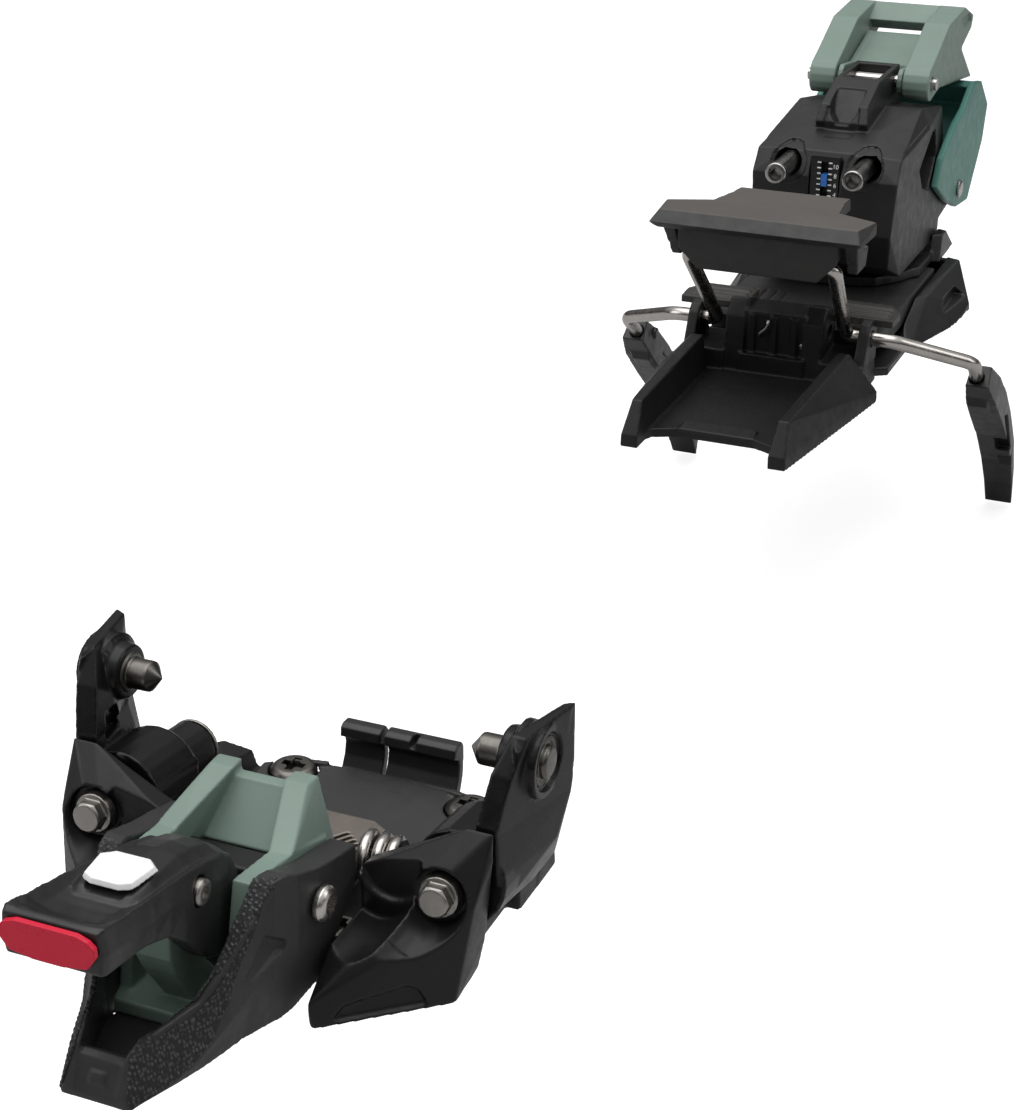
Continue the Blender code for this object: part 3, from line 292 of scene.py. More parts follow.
def on_side(meshes, sign):
    return [side(mesh, sign) for mesh in meshes]


def each_side(meshes):
    return on_side(meshes, 1) + on_side(meshes, -1)


def joined(meshes):
    shape = bmesh.new()
    for mesh in meshes:
        shape.from_mesh(mesh)
    return to_mesh(shape, "joined")


def of_node(node):
    """A CAD node's shape in millimetres, its split points joined."""
    shape = bmesh.new()
    shape.from_mesh(NODES[node].data)
    bmesh.ops.scale(shape, vec=(1000, 1000, 1000), verts=shape.verts)
    bmesh.ops.remove_doubles(shape, verts=shape.verts, dist=0.0004)
    return to_mesh(shape, node)


def worked(mesh, adds=(), cuts=(), voxel=None, smooth=3):
    """Joins and cuts; with a voxel size, also wraps the result in a slightly rounded skin."""
    base = add_object("work", mesh)
    made = [base]
    for operation, group in (("UNION", adds), ("DIFFERENCE", cuts)):
        for other in group:
            made.append(add_object("work", other))
            step = base.modifiers.new("step", "BOOLEAN")
            step.operation = operation
            step.solver = "EXACT"
            step.object = made[-1]
    if voxel:
        skin = base.modifiers.new("skin", "REMESH")
        skin.mode = "VOXEL"
        skin.voxel_size = voxel
        skin.adaptivity = 0.0
        soft = base.modifiers.new("soft", "SMOOTH")
        soft.factor = 0.5
        soft.iterations = smooth
    result = evaluated(base)
    for item in made:
        bpy.data.objects.remove(item, do_unlink=True)
    return result


def dress(mesh, look):
    mesh.materials.clear()
    mesh.materials.append(look)
    for face in mesh.polygons:
        face.material_index = 0


def piece(name, mesh, look, node=None, rides=None, smooth=True, angle=None):
    """Adds a piece given in millimetres: in a node's place, or riding with the node named."""
    mesh.transform(Matrix.Scale(MILLIMETRE, 4))
    dress(mesh, look)
    if smooth:
        mesh.shade_smooth()
        if angle:
            mesh.set_sharp_from_angle(angle=math.radians(angle))
    item = add_object(name, mesh)
    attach(item, BODY[node or rides])
    if node:
        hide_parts(node)


def reworked(name, node, look, voxel, adds=(), cuts=(), smooth=3):
    """A frame node given joins, cuts and a rounded skin."""
    piece(name, worked(of_node(node), adds, cuts, voxel, smooth), look, node=node)


# ---------------------------------------------------------------- materials
class Nodes:
    """Builds the node tree of a material or world."""

    def __init__(self, owner, shader="Principled BSDF"):
        owner.use_nodes = True
        self.owner = owner
        self.tree = owner.node_tree
        self.shader = self.tree.nodes[shader]
        self.place = self.add("ShaderNodeTexCoord").outputs

    def fill(self, node, inputs):
        """Links the sockets given, and sets the plain values."""
        for key, value in inputs.items():
            if isinstance(value, bpy.types.NodeSocket):
                self.tree.links.new(value, node.inputs[key])
            else:
                node.inputs[key].default_value = value

    def add(self, kind, inputs=None, **settings):
        node = self.tree.nodes.new(kind)
        for key, value in settings.items():
            setattr(node, key, value)
        self.fill(node, inputs or {})
        return node

    def mapped(self, scale, rotation=(0.0, 0.0, 0.0)):
        return self.add("ShaderNodeMapping", {
            "Vector": self.place["Object"], "Scale": scale, "Rotation": rotation,
        }).outputs["Vector"]

    def noise(self, scale, detail=4.0, rough=0.55, source=None):
        return self.add("ShaderNodeTexNoise", {
            "Vector": source or self.place["Object"],
            "Scale": scale, "Detail": detail, "Roughness": rough,
        }).outputs["Fac"]

    def ranged(self, value, span, onto=(0.0, 1.0), **settings):
        return self.add("ShaderNodeMapRange", {
            "Value": value, "From Min": span[0], "From Max": span[1],
            "To Min": onto[0], "To Max": onto[1],
        }, **settings).outputs["Result"]

    def maths(self, operation, first, second):
        inputs = {0: first, 1: second}
        return self.add("ShaderNodeMath", inputs, operation=operation).outputs[0]

    def mix(self, factor, first, second):
        """Mixes two colours; sockets 6, 7 and 2 are the node's colour sockets."""
        inputs = {"Factor": factor}
        for index, value in ((6, first), (7, second)):
            inputs[index] = (*value, 1.0) if isinstance(value, tuple) else value
        return self.add("ShaderNodeMix", inputs, data_type="RGBA").outputs[2]

    def bump(self, height, distance, strength, after=None):
        inputs = {"Height": height, "Distance": distance, "Strength": strength}
        if after is not None:
            inputs["Normal"] = after
        return self.add("ShaderNodeBump", inputs).outputs["Normal"]


def shade(colour, factor, lift=0.0):
    return tuple(min(1.0, channel * factor + lift) for channel in colour)


def plastic(name, colour, rough, spec, grain=1500.0, depth=0.00002, vary=0.16, coat=0.0,
            wear=0.25, rubbed=None, painted_side_shade=None):
    """Mottled plastic with rubbed edges.

    grain and depth are the fine noise's scale and height, vary the spread of the colour,
    wear and rubbed the strength and colour of the edges; the side colour is a painted shade for
    faces that do not look up.
    """
    nodes = Nodes(bpy.data.materials.new(name))
    broad = nodes.noise(scale=38.0, detail=3.0)
    middle = nodes.noise(scale=260.0)
    fine = nodes.noise(scale=grain, detail=3.0, rough=0.6)
    light = shade(colour, 1 + vary * 1.4, lift=0.002)
    base = nodes.mix(nodes.ranged(broad, span=(0.3, 0.7)), shade(colour, 1 - vary), light)
    base = nodes.mix(nodes.ranged(fine, span=(0.45, 0.75), onto=(0.0, 0.35)), base, light)
    # rubbed edges, broken up by the middle noise
    pointed = nodes.add("ShaderNodeNewGeometry").outputs["Pointiness"]
    edge = nodes.maths("MULTIPLY", nodes.ranged(pointed, span=(0.515, 0.60)),
                       nodes.ranged(middle, span=(0.35, 0.65), onto=(0.2, 1.0)))
    base = nodes.mix(nodes.maths("MULTIPLY", edge, wear), base,
                     rubbed or shade(colour, 1.5, lift=0.012))
    if painted_side_shade:
        # painted shade: faces that do not look up get a darker colour, faces that look up keep the
        # base colour
        facing = {"Vector": nodes.add("ShaderNodeTexCoord").outputs["Normal"]}
        upward = nodes.add("ShaderNodeSeparateXYZ", facing).outputs["Z"]
        base = nodes.mix(nodes.ranged(upward, span=(0.86, 0.95)), painted_side_shade, base)
    uneven = nodes.maths(
        "ADD", nodes.ranged(middle, span=(0.3, 0.7), onto=(rough - 0.06, rough + 0.07)),
        nodes.ranged(fine, span=(0.3, 0.7), onto=(-0.03, 0.04)))
    grained = nodes.bump(fine, distance=depth, strength=0.55)
    nodes.fill(nodes.shader, {
        "Base Color": base,
        "Roughness": nodes.maths("SUBTRACT", uneven, nodes.maths("MULTIPLY", edge, 0.08)),
        "Specular IOR Level": spec,
        "Coat Weight": coat,
        "Coat Roughness": 0.18,
        "Normal": nodes.bump(broad, distance=0.0006, strength=0.10, after=grained),
    })
    return nodes.owner


def metal(name, colour, rough, scale=900.0, metallic=1.0):
    """Metal with a fine roughness noise of the given scale."""
    vary = 0.10
    nodes = Nodes(bpy.data.materials.new(name))
    fine = nodes.noise(scale=scale, detail=3.0, rough=0.6, source=nodes.mapped((1.0, 1.0, 1.0)))
    broad = nodes.noise(scale=120.0)
    nodes.fill(nodes.shader, {
        "Base Color": nodes.mix(nodes.ranged(broad, span=(0.3, 0.7)),
                                shade(colour, 1 - vary), shade(colour, 1 + vary)),
        "Roughness": nodes.maths(
            "ADD", nodes.ranged(fine, span=(0.3, 0.7), onto=(rough - 0.06, rough + 0.08)),
            nodes.ranged(broad, span=(0.35, 0.65), onto=(-0.02, 0.03))),
        "Metallic": metallic,
        "Normal": nodes.bump(fine, distance=0.00001, strength=0.5),
    })
    return nodes.owner


def knurled(name, colour):
    """Small raised scales with pale tops."""
    nodes = Nodes(bpy.data.materials.new(name))
    cells = nodes.add("ShaderNodeTexVoronoi", {
        "Vector": nodes.mapped((1.0, 1.35, 1.0), rotation=(0.0, 0.0, 0.5)),
        "Scale": 1150.0, "Randomness": 0.55,
    }, feature="F1")
    height = nodes.ranged(cells.outputs["Distance"], span=(0.0, 0.55), onto=(1.0, 0.0))
    fine = nodes.noise(scale=2600.0, detail=3.0)
    lifted = nodes.maths("ADD", height, nodes.maths("MULTIPLY", fine, 0.25))
    nodes.fill(nodes.shader, {
        "Base Color": nodes.mix(nodes.ranged(lifted, span=(0.15, 1.0)),
                                shade(colour, 0.4), shade(colour, 2.6, lift=0.012)),
        "Roughness": nodes.ranged(lifted, span=(0.2, 1.1), onto=(0.75, 0.38)),
        "Normal": nodes.bump(lifted, distance=0.00025, strength=0.9),
    })
    return nodes.owner


BLACK = plastic("moulded_black", (0.0125, 0.0122, 0.0125), rough=0.34, spec=0.36)
BLACK_SOFT = plastic("moulded_black_matte", (0.0200, 0.0195, 0.0200), rough=0.48, spec=0.40,
                     grain=1300.0, depth=0.00003)
DECK = plastic("moulded_warm_black", (0.030, 0.0285, 0.0255), rough=0.46, spec=0.38,
               grain=1300.0, depth=0.00003)
DARK_TRAY = plastic("moulded_black_tray", (0.0068, 0.0068, 0.0072), rough=0.44, spec=0.28,
                    grain=1300.0, depth=0.00003)
TOE_BLACK = plastic("moulded_black_toe", (0.0068, 0.0066, 0.0068), rough=0.36, spec=0.26)
GLOSS = plastic("anodised_black_jaw", (0.0040, 0.0038, 0.0046), rough=0.30, spec=0.24,
                grain=2200.0, depth=0.00001, vary=0.10, coat=0.04, wear=0.05)
HOUSING = plastic("moulded_black_housing", (0.0115, 0.0112, 0.0110), rough=0.40, spec=0.34,
                  grain=1400.0, vary=0.14)
SAGE = plastic("sage_green_moulding", (0.162, 0.224, 0.190), rough=0.40, spec=0.40,
               depth=0.000015, vary=0.05, wear=0.15)
GREEN = plastic("deep_green_moulding", (0.055, 0.185, 0.150), rough=0.38, spec=0.40,
                depth=0.000015, vary=0.08, wear=0.15)
# the step's sides get a painted shade, a darker colour on every face that does not look up
PEDAL = plastic("warm_grey_step", (0.078, 0.070, 0.063), rough=0.52, spec=0.38,
                grain=1600.0, vary=0.08, wear=0.2, painted_side_shade=(0.022, 0.0215, 0.0212))
GRIP = knurled("knurled_black_strip", (0.021, 0.0205, 0.023))
STEEL = metal("turned_steel", (0.56, 0.54, 0.51), rough=0.27)
NICKEL = metal("warm_nickel_wire", (0.46, 0.435, 0.41), rough=0.22, scale=500.0)
CHROME = metal("polished_chrome", (0.78, 0.77, 0.75), rough=0.12, scale=600.0)
PIN_METAL = metal("polished_pin_steel", (0.36, 0.345, 0.335), rough=0.20, scale=600.0)
DARK_STEEL = metal("blackened_steel", (0.13, 0.122, 0.112), rough=0.30)
WORN = metal("worn_steel", (0.30, 0.285, 0.265), rough=0.33)
TRIGGER = metal("blasted_grey_plate", (0.20, 0.175, 0.155), rough=0.40, metallic=0.8)
SMOOTH_GRAIN = {"grain": 2500.0, "depth": 0.000005}
WHITE = plastic("white_badge_gloss", (0.82, 0.82, 0.82), rough=0.30, spec=0.5, vary=0.015,
                coat=0.3, wear=0.0, **SMOOTH_GRAIN)
RED = plastic("red_badge_gloss", (0.56, 0.012, 0.040), rough=0.30, spec=0.22, vary=0.05,
              wear=0.1, rubbed=(0.5, 0.10, 0.12), **SMOOTH_GRAIN)
BLUE = plastic("blue_marker", (0.020, 0.150, 0.520), rough=0.32, spec=0.5, vary=0.05,
               coat=0.3, wear=0.0, **SMOOTH_GRAIN)
PALE = plastic("scale_print_white", (0.78, 0.78, 0.77), rough=0.40, spec=0.4, vary=0.02,
               wear=0.0, **SMOOTH_GRAIN)
BY_SLOT = {
    "black_plastic": BLACK, "black_alloy": GLOSS, "black_grip": BLACK_SOFT,
    "sage_plastic": SAGE, "green_plastic": GREEN, "pedal_plastic": PEDAL,
    "steel": STEEL, "chrome": CHROME, "dark_steel": DARK_STEEL, "trigger_metal": TRIGGER,
    "white_plastic": WHITE, "red_plastic": RED, "blue_plastic": BLUE,
}

# the frame's own pieces get their finish, for any that stay in view
for name, node in NODES.items():
    dress(node.data, BY_SLOT[SLOT[name]])

# ================================================================= toe unit
# base: a round-bottomed pocket each side, a sunk panel below it, and room for the axle
TOE_FACE_Y = -20.4
PANEL = [(22.5, -39.2, 0.6), (24.4, -37.3, 3.4), (32.8, -29.8, 4.9), (34.4, -28.8, 3.7),
         (35.6, -28.1, 0.6)]
panel_normal = Vector((0.637, -0.756, 0.149))
pocket = ring(23.2, 16.8, radius=6.6, count=40) + [(16.6, 34.0), (29.8, 34.0)]
reworked("toe_base_moulding", "toe_base", TOE_BLACK, voxel=0.36, cuts=each_side([
    prism("y", -50.0, TOE_FACE_Y, pocket),
    hull([Vector(corner) + panel_normal * shift for corner in PANEL for shift in (-0.9, 3.0)]),
    slant(-32.0, TOE_FACE_Y, 10.5, 5.0),
]))

REAR_RIM = [(13.4, 29.9), (22.0, 28.2), (21.4, 27.0), (13.2, 28.7)]  # x, y
reworked("toe_cover_plate", "toe_top_plate", BLACK_SOFT, voxel=0.28,
         adds=each_side([prism("z", 4.9, 5.9, REAR_RIM)]))

HOOK_LIP = [(32.7, 10.4), (33.0, 12.3), (34.2, 12.9), (36.3, 12.8), (37.1, 11.7), (37.1, 9.4),
            (35.4, 9.0)]  # y, z
reworked("crampon_hook_left_formed", "crampon_hook_left", BLACK, voxel=0.26,
         adds=[prism("x", -12.3, -3.7, HOOK_LIP)])
reworked("crampon_hook_right_formed", "crampon_hook_right", BLACK, voxel=0.26,
         adds=[prism("x", -2.7, 12.8, HOOK_LIP)],
         cuts=[box(3.0, 4.2, 30.0, 35.8, 10.9, 14.0)])


def pan_screw(x, y, z, radius, head, length):
    """A pan-head screw with a crossed recess and a chamfered rim, its top at z."""
    shank = 2.4
    profile = softened([
        (0, 0), (0, radius * 0.70), (head * 0.12, radius * 0.84), (head * 0.42, radius * 0.985),
        (head * 0.62, radius), (head, radius * 0.98), (head, shank), (length, shank), (length, 0),
    ], 0.25)
    long, wide = radius * 0.58, radius * 0.17
    foot = radius * 0.40
    slot = [(reach, wide * across, height)
            for reach, height in ((-long, z + 1), (long, z + 1), (-foot, z - 1.5), (foot, z - 1.5))
            for across in (-1, 1)]
    recess = [hull([(x + u, y + v, height) for u, v, height in slot]),
              hull([(x + v, y + u, height) for u, v, height in slot]),
              cone((x, y, z + 0.5), (x, y, z - 1.3), radius * 0.36, radius * 0.18, sides=24)]
    return worked(lathe((x, y, z), (x, y, z - 10), profile, steps=56), cuts=recess)


SCREWS = (  # piece; node; x, y, z of the top; radius; head height; length
    ("rear_toe_screw", "toe_screw_rear", 19.2, 25.6, 6.2, 4.8, 2.4, 10.5),
    ("front_toe_screw", "toe_screw_front", 14.6, -20.0, 6.1, 4.4, 2.5, 10.5),
    ("heel_track_screw_front", "heel_screw_front", 15.0, 308.0, 4.9, 4.0, 1.9, 11.0),
    ("heel_track_screw_rear", "heel_screw_rear", 15.0, 386.6, 4.9, 4.0, 1.9, 11.0),
)
for word, sign in SIDES:
    for name, node, x, *sizes in SCREWS:
        piece(f"{name}_{word}", pan_screw(sign * x, *sizes), DARK_STEEL,
              node=f"{node}_{word}", angle=32)

# jaws
JAW_ADDS = [
    # pin boss, outer and inner
    rod((0.0, PIN_Z), 41.0, 45.9, 7.0, 6.6),
    rod((0.0, PIN_Z), 38.2, 40.9, 5.2, 5.6),
    # blade
    hull([(43.2, -9.4, 34.0), (46.4, 6.0, 34.0), (43.4, -8.6, 41.0), (46.9, 8.6, 42.0),
          (42.0, -6.4, 42.6), (45.0, 8.0, 42.4)]),
    # ridge from the boss down to the front edge
    hull([(40.2, -9.4, 31.0), (41.0, -6.4, 27.0), (39.2, -11.0, 28.0), (43.0, -8.0, 27.0),
          (41.8, -6.6, 33.0)]),
]
JAW_CUTS = [
    # recess in the boss, and seats at the axle's two ends
    rod((0.0, PIN_Z), 45.2, 60.0, 5.3),
    slant(-30.0, -12.2, 3.6),
    slant(3.2, 30.0, 6.4),
    # hollow on the outside, below the pin
    hull([(45.6, 1.6, 17.6), (49.0, 0.0, 16.0), (46.9, 5.6, 22.4), (50.0, 6.6, 24.0),
          (46.6, 6.6, 19.0), (50.0, 9.0, 18.0), (49.0, -3.0, 24.0), (45.3, -2.0, 21.4)]),
    # shallow recess on the inside
    hull([(36.0, -9.6, 26.2), (40.6, -9.0, 25.4), (36.0, -3.6, 25.8), (41.6, -3.0, 25.4),
          (38.4, -8.6, 31.6), (39.4, -4.4, 31.0), (36.0, -8.6, 31.6), (36.0, -4.4, 31.0)]),
]


def toe_pin():
    """Stepped shank with a collar and a pointed inner end."""
    shank = softened([(0, 0), (0, 2.3), (0.6, 2.6), (6.6, 2.6), (6.6, 4.1), (8.0, 4.1),
                      (8.6, 3.6), (8.6, 2.95), (12.4, 2.95), (12.6, 2.7), (12.6, 0)], 0.22)
    point = [(0, 0), (0, 2.9), (0.4, 2.9), (2.5, 0.15), (2.5, 0)]
    inner_end = (31.0, 0, PIN_Z)
    whole = worked(lathe((46.2, 0, PIN_Z), inner_end, shank),
                   adds=[lathe((33.9, 0, PIN_Z), inner_end, point)])
    return worked(whole, voxel=0.12, smooth=2)


def pin_rivet():
    profile = softened([(0, 0), (0, 2.5), (0.5, 3.0), (1.3, 3.1), (1.3, 4.2), (0.9, 4.5),
                        (1.4, 4.7), (2.2, 4.7), (2.2, 0)])
    return lathe((46.5, 0, PIN_Z), (40.0, 0, PIN_Z), profile)


def jaw_axle():
    """Axle with a flanged, domed hexagon head in front and two washers behind."""
    return worked(slant(-20.2, 14.4, 3.0), [
        slant(-21.2, -19.5, 3.7, 4.1),
        slant(-23.2, -20.8, 3.05, sides=6),
        slant(-23.6, -23.1, 2.5, 2.95, sides=32),
        slant(13.3, 14.0, 5.4),
        slant(13.9, 14.9, 4.4, 4.0),
    ], voxel=0.16)


def jaw_spring():
    return coil((-8.5, 13.3), 14.0, 22.8, radius=4.1, wire=1.2, turns=3.0)


for word, sign in SIDES:
    reworked(f"jaw_{word}_forged", f"jaw_{word}", GLOSS, voxel=0.30,
             adds=on_side(JAW_ADDS, sign), cuts=on_side(JAW_CUTS, sign))
    for name, node, build, look in (
            (f"toe_pin_{word}_turned", "toe_pin", toe_pin, DARK_STEEL),
            (f"pin_rivet_{word}", "toe_pin_nut", pin_rivet, DARK_STEEL),
            (f"jaw_axle_{word}_bolt", "jaw_axle", jaw_axle, WORN),
            (f"jaw_spring_{word}_coil", "jaw_spring", jaw_spring, NICKEL)):
        piece(name, side(build(), sign), look, node=f"{node}_{word}")

reworked("trigger_plate_pressed", "trigger_plate", TRIGGER, voxel=0.22, smooth=2)

# front pedal rails: a small raised mark in the nose and a slanting recess outside each rail
rail_recess = hull([
    (14.5, -46.6, 21.0), (15.6, -41.6, 17.2), (13.9, -53.4, 13.4), (19.0, -46.2, 22.4),
    (19.0, -40.8, 17.0), (17.0, -54.2, 13.2), (15.0, -42.6, 16.0), (19.0, -42.0, 14.6)])
nose_mark = hull([(-1.4, -74.7, 7.0), (1.6, -74.7, 7.0), (-1.1, -73.9, 9.0), (1.2, -73.9, 9.0),
                  (-1.4, -73.0, 6.0), (1.6, -73.0, 6.0)])
rails = worked(of_node("pedal_rails"), [nose_mark], each_side([rail_recess]), voxel=0.28)


def along(path, share):
    """The point at a share of a path's length."""
    lengths = [0.0]
    for start, end in zip(path, path[1:]):
        lengths.append(lengths[-1] + (Vector(end) - Vector(start)).length)
    want = share * lengths[-1]
    for start, end, low, high in zip(path, path[1:], lengths, lengths[1:]):
        if want <= high + 1e-9:
            return Vector(start).lerp(Vector(end), (want - low) / (high - low))


def grip_strip(mesh, inner, outer, rows=150, columns=20):
    """A thin scaly pad that follows a surface between two edges."""
    edge_lift, pad_lift, scale_lift, sunk = 0.10, 0.22, 0.16, 0.3
    wave = 0.785  # radians of the scale pattern per grid step
    tree = BVHTree.FromPolygons([vertex.co[:] for vertex in mesh.vertices],
                                [tuple(face.vertices) for face in mesh.polygons])
    shape = bmesh.new()
    tops, lows = [], []
    for i in range(rows + 1):
        start, end = along(inner, i / rows), along(outer, i / rows)
        top, low = [], []
        for j in range(columns + 1):
            spot, normal, _, _ = tree.find_nearest(start.lerp(end, j / columns))
            scale = abs(math.sin(i * wave + (j // 4) * 2 * wave)) * abs(math.sin(j * wave))
            on_edge = i in (0, rows) or j in (0, columns)
            lift = edge_lift if on_edge else pad_lift + scale_lift * scale
            top.append(shape.verts.new(spot + normal * lift))
            low.append(shape.verts.new(spot - normal * sunk))
        tops.append(top)
        lows.append(low)
    for i in range(rows):
        for j in range(columns):
            for grid, corners in ((tops, ((0, 0), (0, 1), (1, 1), (1, 0))),
                                  (lows, ((0, 0), (1, 0), (1, 1), (0, 1)))):
                shape.faces.new([grid[i + down][j + across] for down, across in corners])
    for i in range(rows):
        for j in (0, columns):
            shape.faces.new((tops[i][j], tops[i + 1][j], lows[i + 1][j], lows[i][j]))
    for j in range(columns):
        for i in (0, rows):
            shape.faces.new((tops[i][j], tops[i][j + 1], lows[i][j + 1], lows[i][j]))
    return finish(shape)


# the right strip's two edges, from the top forwards and down
STRIP_INNER = [
    (12.6, -44.5, 30.4), (12.3, -47.5, 28.4), (11.6, -52.4, 22.6), (10.4, -57.0, 17.6),
    (8.9, -60.5, 15.0), (7.4, -64.1, 14.2), (5.4, -69.2, 13.7), (4.8, -72.0, 12.1),
    (5.8, -75.0, 5.9)]
STRIP_OUTER = [
    (16.2, -43.0, 30.4), (15.8, -47.0, 28.2), (14.6, -51.4, 21.0), (13.3, -55.6, 12.6),
    (12.2, -59.5, 7.8), (10.7, -64.0, 5.7), (9.1, -68.6, 4.9), (7.8, -72.0, 4.6),
    (6.7, -75.0, 4.6)]
for word, sign in SIDES:
    edges = [path if sign > 0 else flipped(path) for path in (STRIP_INNER, STRIP_OUTER)]
    piece(f"pedal_grip_strip_{word}", grip_strip(rails, *edges), GRIP,
          rides="pedal_rails")
piece("front_pedal_rails", rails, BLACK_SOFT, node="pedal_rails")

# sloping web between the yoke's ears
YOKE_WEB = [(8.95, -19.4, 31.4), (8.95, -17.0, 31.4), (8.95, -26.6, 22.6), (8.95, -24.8, 20.6),
            (8.95, -17.0, 24.0)]
reworked("front_pedal_yoke", "pedal_yoke", SAGE, voxel=0.30, adds=[hull(both(YOKE_WEB))])


def pedal_bolt():
    """Round-headed bolt with a hexagon socket."""
    y, z = -33.0, 20.0
    profile = softened([(0, 0), (0, 1.9), (0.4, 2.7), (1.0, 3.2), (2.0, 3.2), (2.0, 1.6),
                        (7.2, 1.6), (7.2, 0)])
    socket = cone((21.0, y, z), (19.0, y, z), 1.55, 1.4, sides=6)
    return worked(lathe((20.4, y, z), (13.0, y, z), profile), cuts=[socket])


for word, sign in SIDES:
    piece(f"pedal_bolt_{word}", side(pedal_bolt(), sign), STEEL,
          node=f"pedal_screw_{word}", angle=32)

# front lever: side walls, a raised lip round a hollow, and a spine down the middle
LEVER_SECTIONS = [  # y; then x, z of the bottom, side, lip, hollow, spine edge; z of spine top
    (-81.9, (8.3, 34.6), (8.9, 38.0), (8.3, 42.0), (6.5, 42.1), (4.0, 42.2), 42.2),
    (-80.6, (8.6, 34.0), (9.3, 38.0), (8.7, 42.4), (6.5, 42.4), (4.0, 42.4), 42.4),
    (-78.5, (8.6, 33.7), (9.3, 37.5), (8.8, 42.0), (6.5, 41.2), (4.0, 40.8), 40.7),
    (-75.5, (8.5, 33.2), (9.2, 37.0), (8.6, 41.2), (6.3, 39.6), (3.8, 38.9), 38.7),
    (-71.5, (8.3, 32.4), (9.1, 36.4), (8.4, 40.4), (6.2, 38.6), (3.8, 38.0), 37.9),
    (-69.2, (8.3, 31.9), (9.0, 36.0), (8.3, 40.0), (6.2, 38.2), (4.6, 37.9), 37.9),
    (-67.4, (8.3, 31.2), (9.0, 35.8), (8.2, 39.6), (6.1, 38.0), (4.8, 38.8), 39.1),
    (-63.0, (8.4, 29.6), (8.9, 35.0), (7.9, 38.6), (6.4, 37.7), (5.4, 39.0), 39.2),
    (-58.5, (8.4, 25.5), (8.7, 33.5), (7.7, 37.6), (6.2, 36.9), (4.6, 38.4), 39.0),
    (-53.0, (8.3, 19.0), (8.5, 31.0), (7.5, 36.4), (6.0, 35.9), (4.0, 37.6), 38.1),
    (-48.5, (8.2, 16.6), (8.4, 29.0), (7.3, 35.0), (5.9, 34.7), (3.8, 36.2), 36.7),
    (-44.0, (8.0, 18.0), (8.1, 27.5), (7.0, 33.4), (5.6, 33.3), (3.6, 34.5), 34.9),
    (-40.6, (7.2, 24.0), (7.4, 28.0), (6.2, 31.0), (5.0, 31.2), (3.2, 32.0), 32.4),
]


def lever_ring(y, *stations):
    *points, top = stations
    half = [(x, y, z) for x, z in points]
    left = flipped(half)
    return [left[0], *half, (0, y, top), *reversed(left[1:])]


LEVER_HOLLOW = [(-66.5, 10.0), (-66.5, 31.5), (-58.0, 35.6), (-51.0, 35.2), (-47.5, 33.4),
                (-38.0, 25.0), (-38.0, 10.0)]  # y, z
LEVER_GAP = [(3.4, -68.6, 39.9), (3.8, -66.0, 39.9), (3.4, -68.6, 38.3), (3.8, -66.0, 38.5)]
lever_cuts = [prism("x", -4.3, 4.3, LEVER_HOLLOW), rod(LEVER_PIVOT, -20.0, 20.0, 2.55),
              hull(both(LEVER_GAP))]
lever = loft([lever_ring(*section) for section in LEVER_SECTIONS])
piece("mode_lever_shell", worked(lever, cuts=lever_cuts, voxel=0.28), BLACK, node="mode_lever")

# lever pin, drilled at both ends
lever_pin = softened([(0, 0), (0, 1.7), (0.3, 2.25), (17.9, 2.25), (18.2, 1.7), (18.2, 0)])
lever_pin = lathe((-9.1, *LEVER_PIVOT), (9.1, *LEVER_PIVOT), lever_pin)
drillings = [rod(LEVER_PIVOT, sign * 8.5, sign * 12.0, 1.1) for sign in (1, -1)]
drillings[1] = rod(LEVER_PIVOT, -12.0, -8.5, 1.1)
piece("mode_lever_pin_turned", worked(lever_pin, cuts=drillings), WORN,
      node="mode_lever_pin", angle=35)
reworked("lever_badge_plain", "lever_badge_white", WHITE, voxel=0.14)
FRONT_BADGE = [(-2.4, 35.6), (2.4, 35.6), (6.9, 36.3), (8.5, 38.6), (8.4, 40.2), (7.4, 41.2),
               (5.4, 41.9), (-5.4, 41.9), (-7.4, 41.2), (-8.4, 40.2), (-8.5, 38.6),
               (-6.9, 36.3)]  # x, z
piece("lever_front_badge",
      worked(upright_plate(FRONT_BADGE, -83.2, -82.1), voxel=0.14, smooth=5),
      RED, node="lever_badge_red")

# ================================================================ heel unit
# tray: a ribbed wall with a roof behind, and a low lip across the front
WALL = (-9.4, 9.4, 286.6, 288.8)  # x and y limits
tray_adds = [box(*WALL, 3.0, 19.6), box(-9.4, 9.4, 286.6, 299.0, 19.9, 21.1),
             box(*WALL, 18.0, 21.1)]
tray_adds += [box(left, right, 285.8, 287.0, 3.0, 20.4)
              for left, right in ((-7.6, -5.6), (-1.0, 1.0), (5.2, 7.2))]
TRAY_LIP = ((11.0, 232.4, 2.6), (10.4, 238.6, 3.9), (10.4, 240.2, 2.0))  # half width, y, z
tray_adds.append(hull([(x, y, z) for half, y, z in TRAY_LIP for x in (-half, half)]))
reworked("front_tray", "brake_tray", DARK_TRAY, voxel=0.36, adds=tray_adds)

DECK_PAD = [(12.4, 297.4), (32.6, 297.4), (33.0, 305.0), (29.0, 312.0), (12.4, 312.0)]  # x, y


def bracket_deck():
    """Deck pad over the brake hinge, with three ribs."""
    ribs = [box(14.0, 30.2, y, y + 1.1, 19.0, 20.2) for y in (300.1, 303.5, 306.9)]
    return worked(prism("z", 17.4, 19.6, DECK_PAD), ribs, voxel=0.26)


for word, sign in SIDES:
    piece(f"bracket_deck_{word}", side(bracket_deck(), sign), DECK,
          rides="brake_tray")

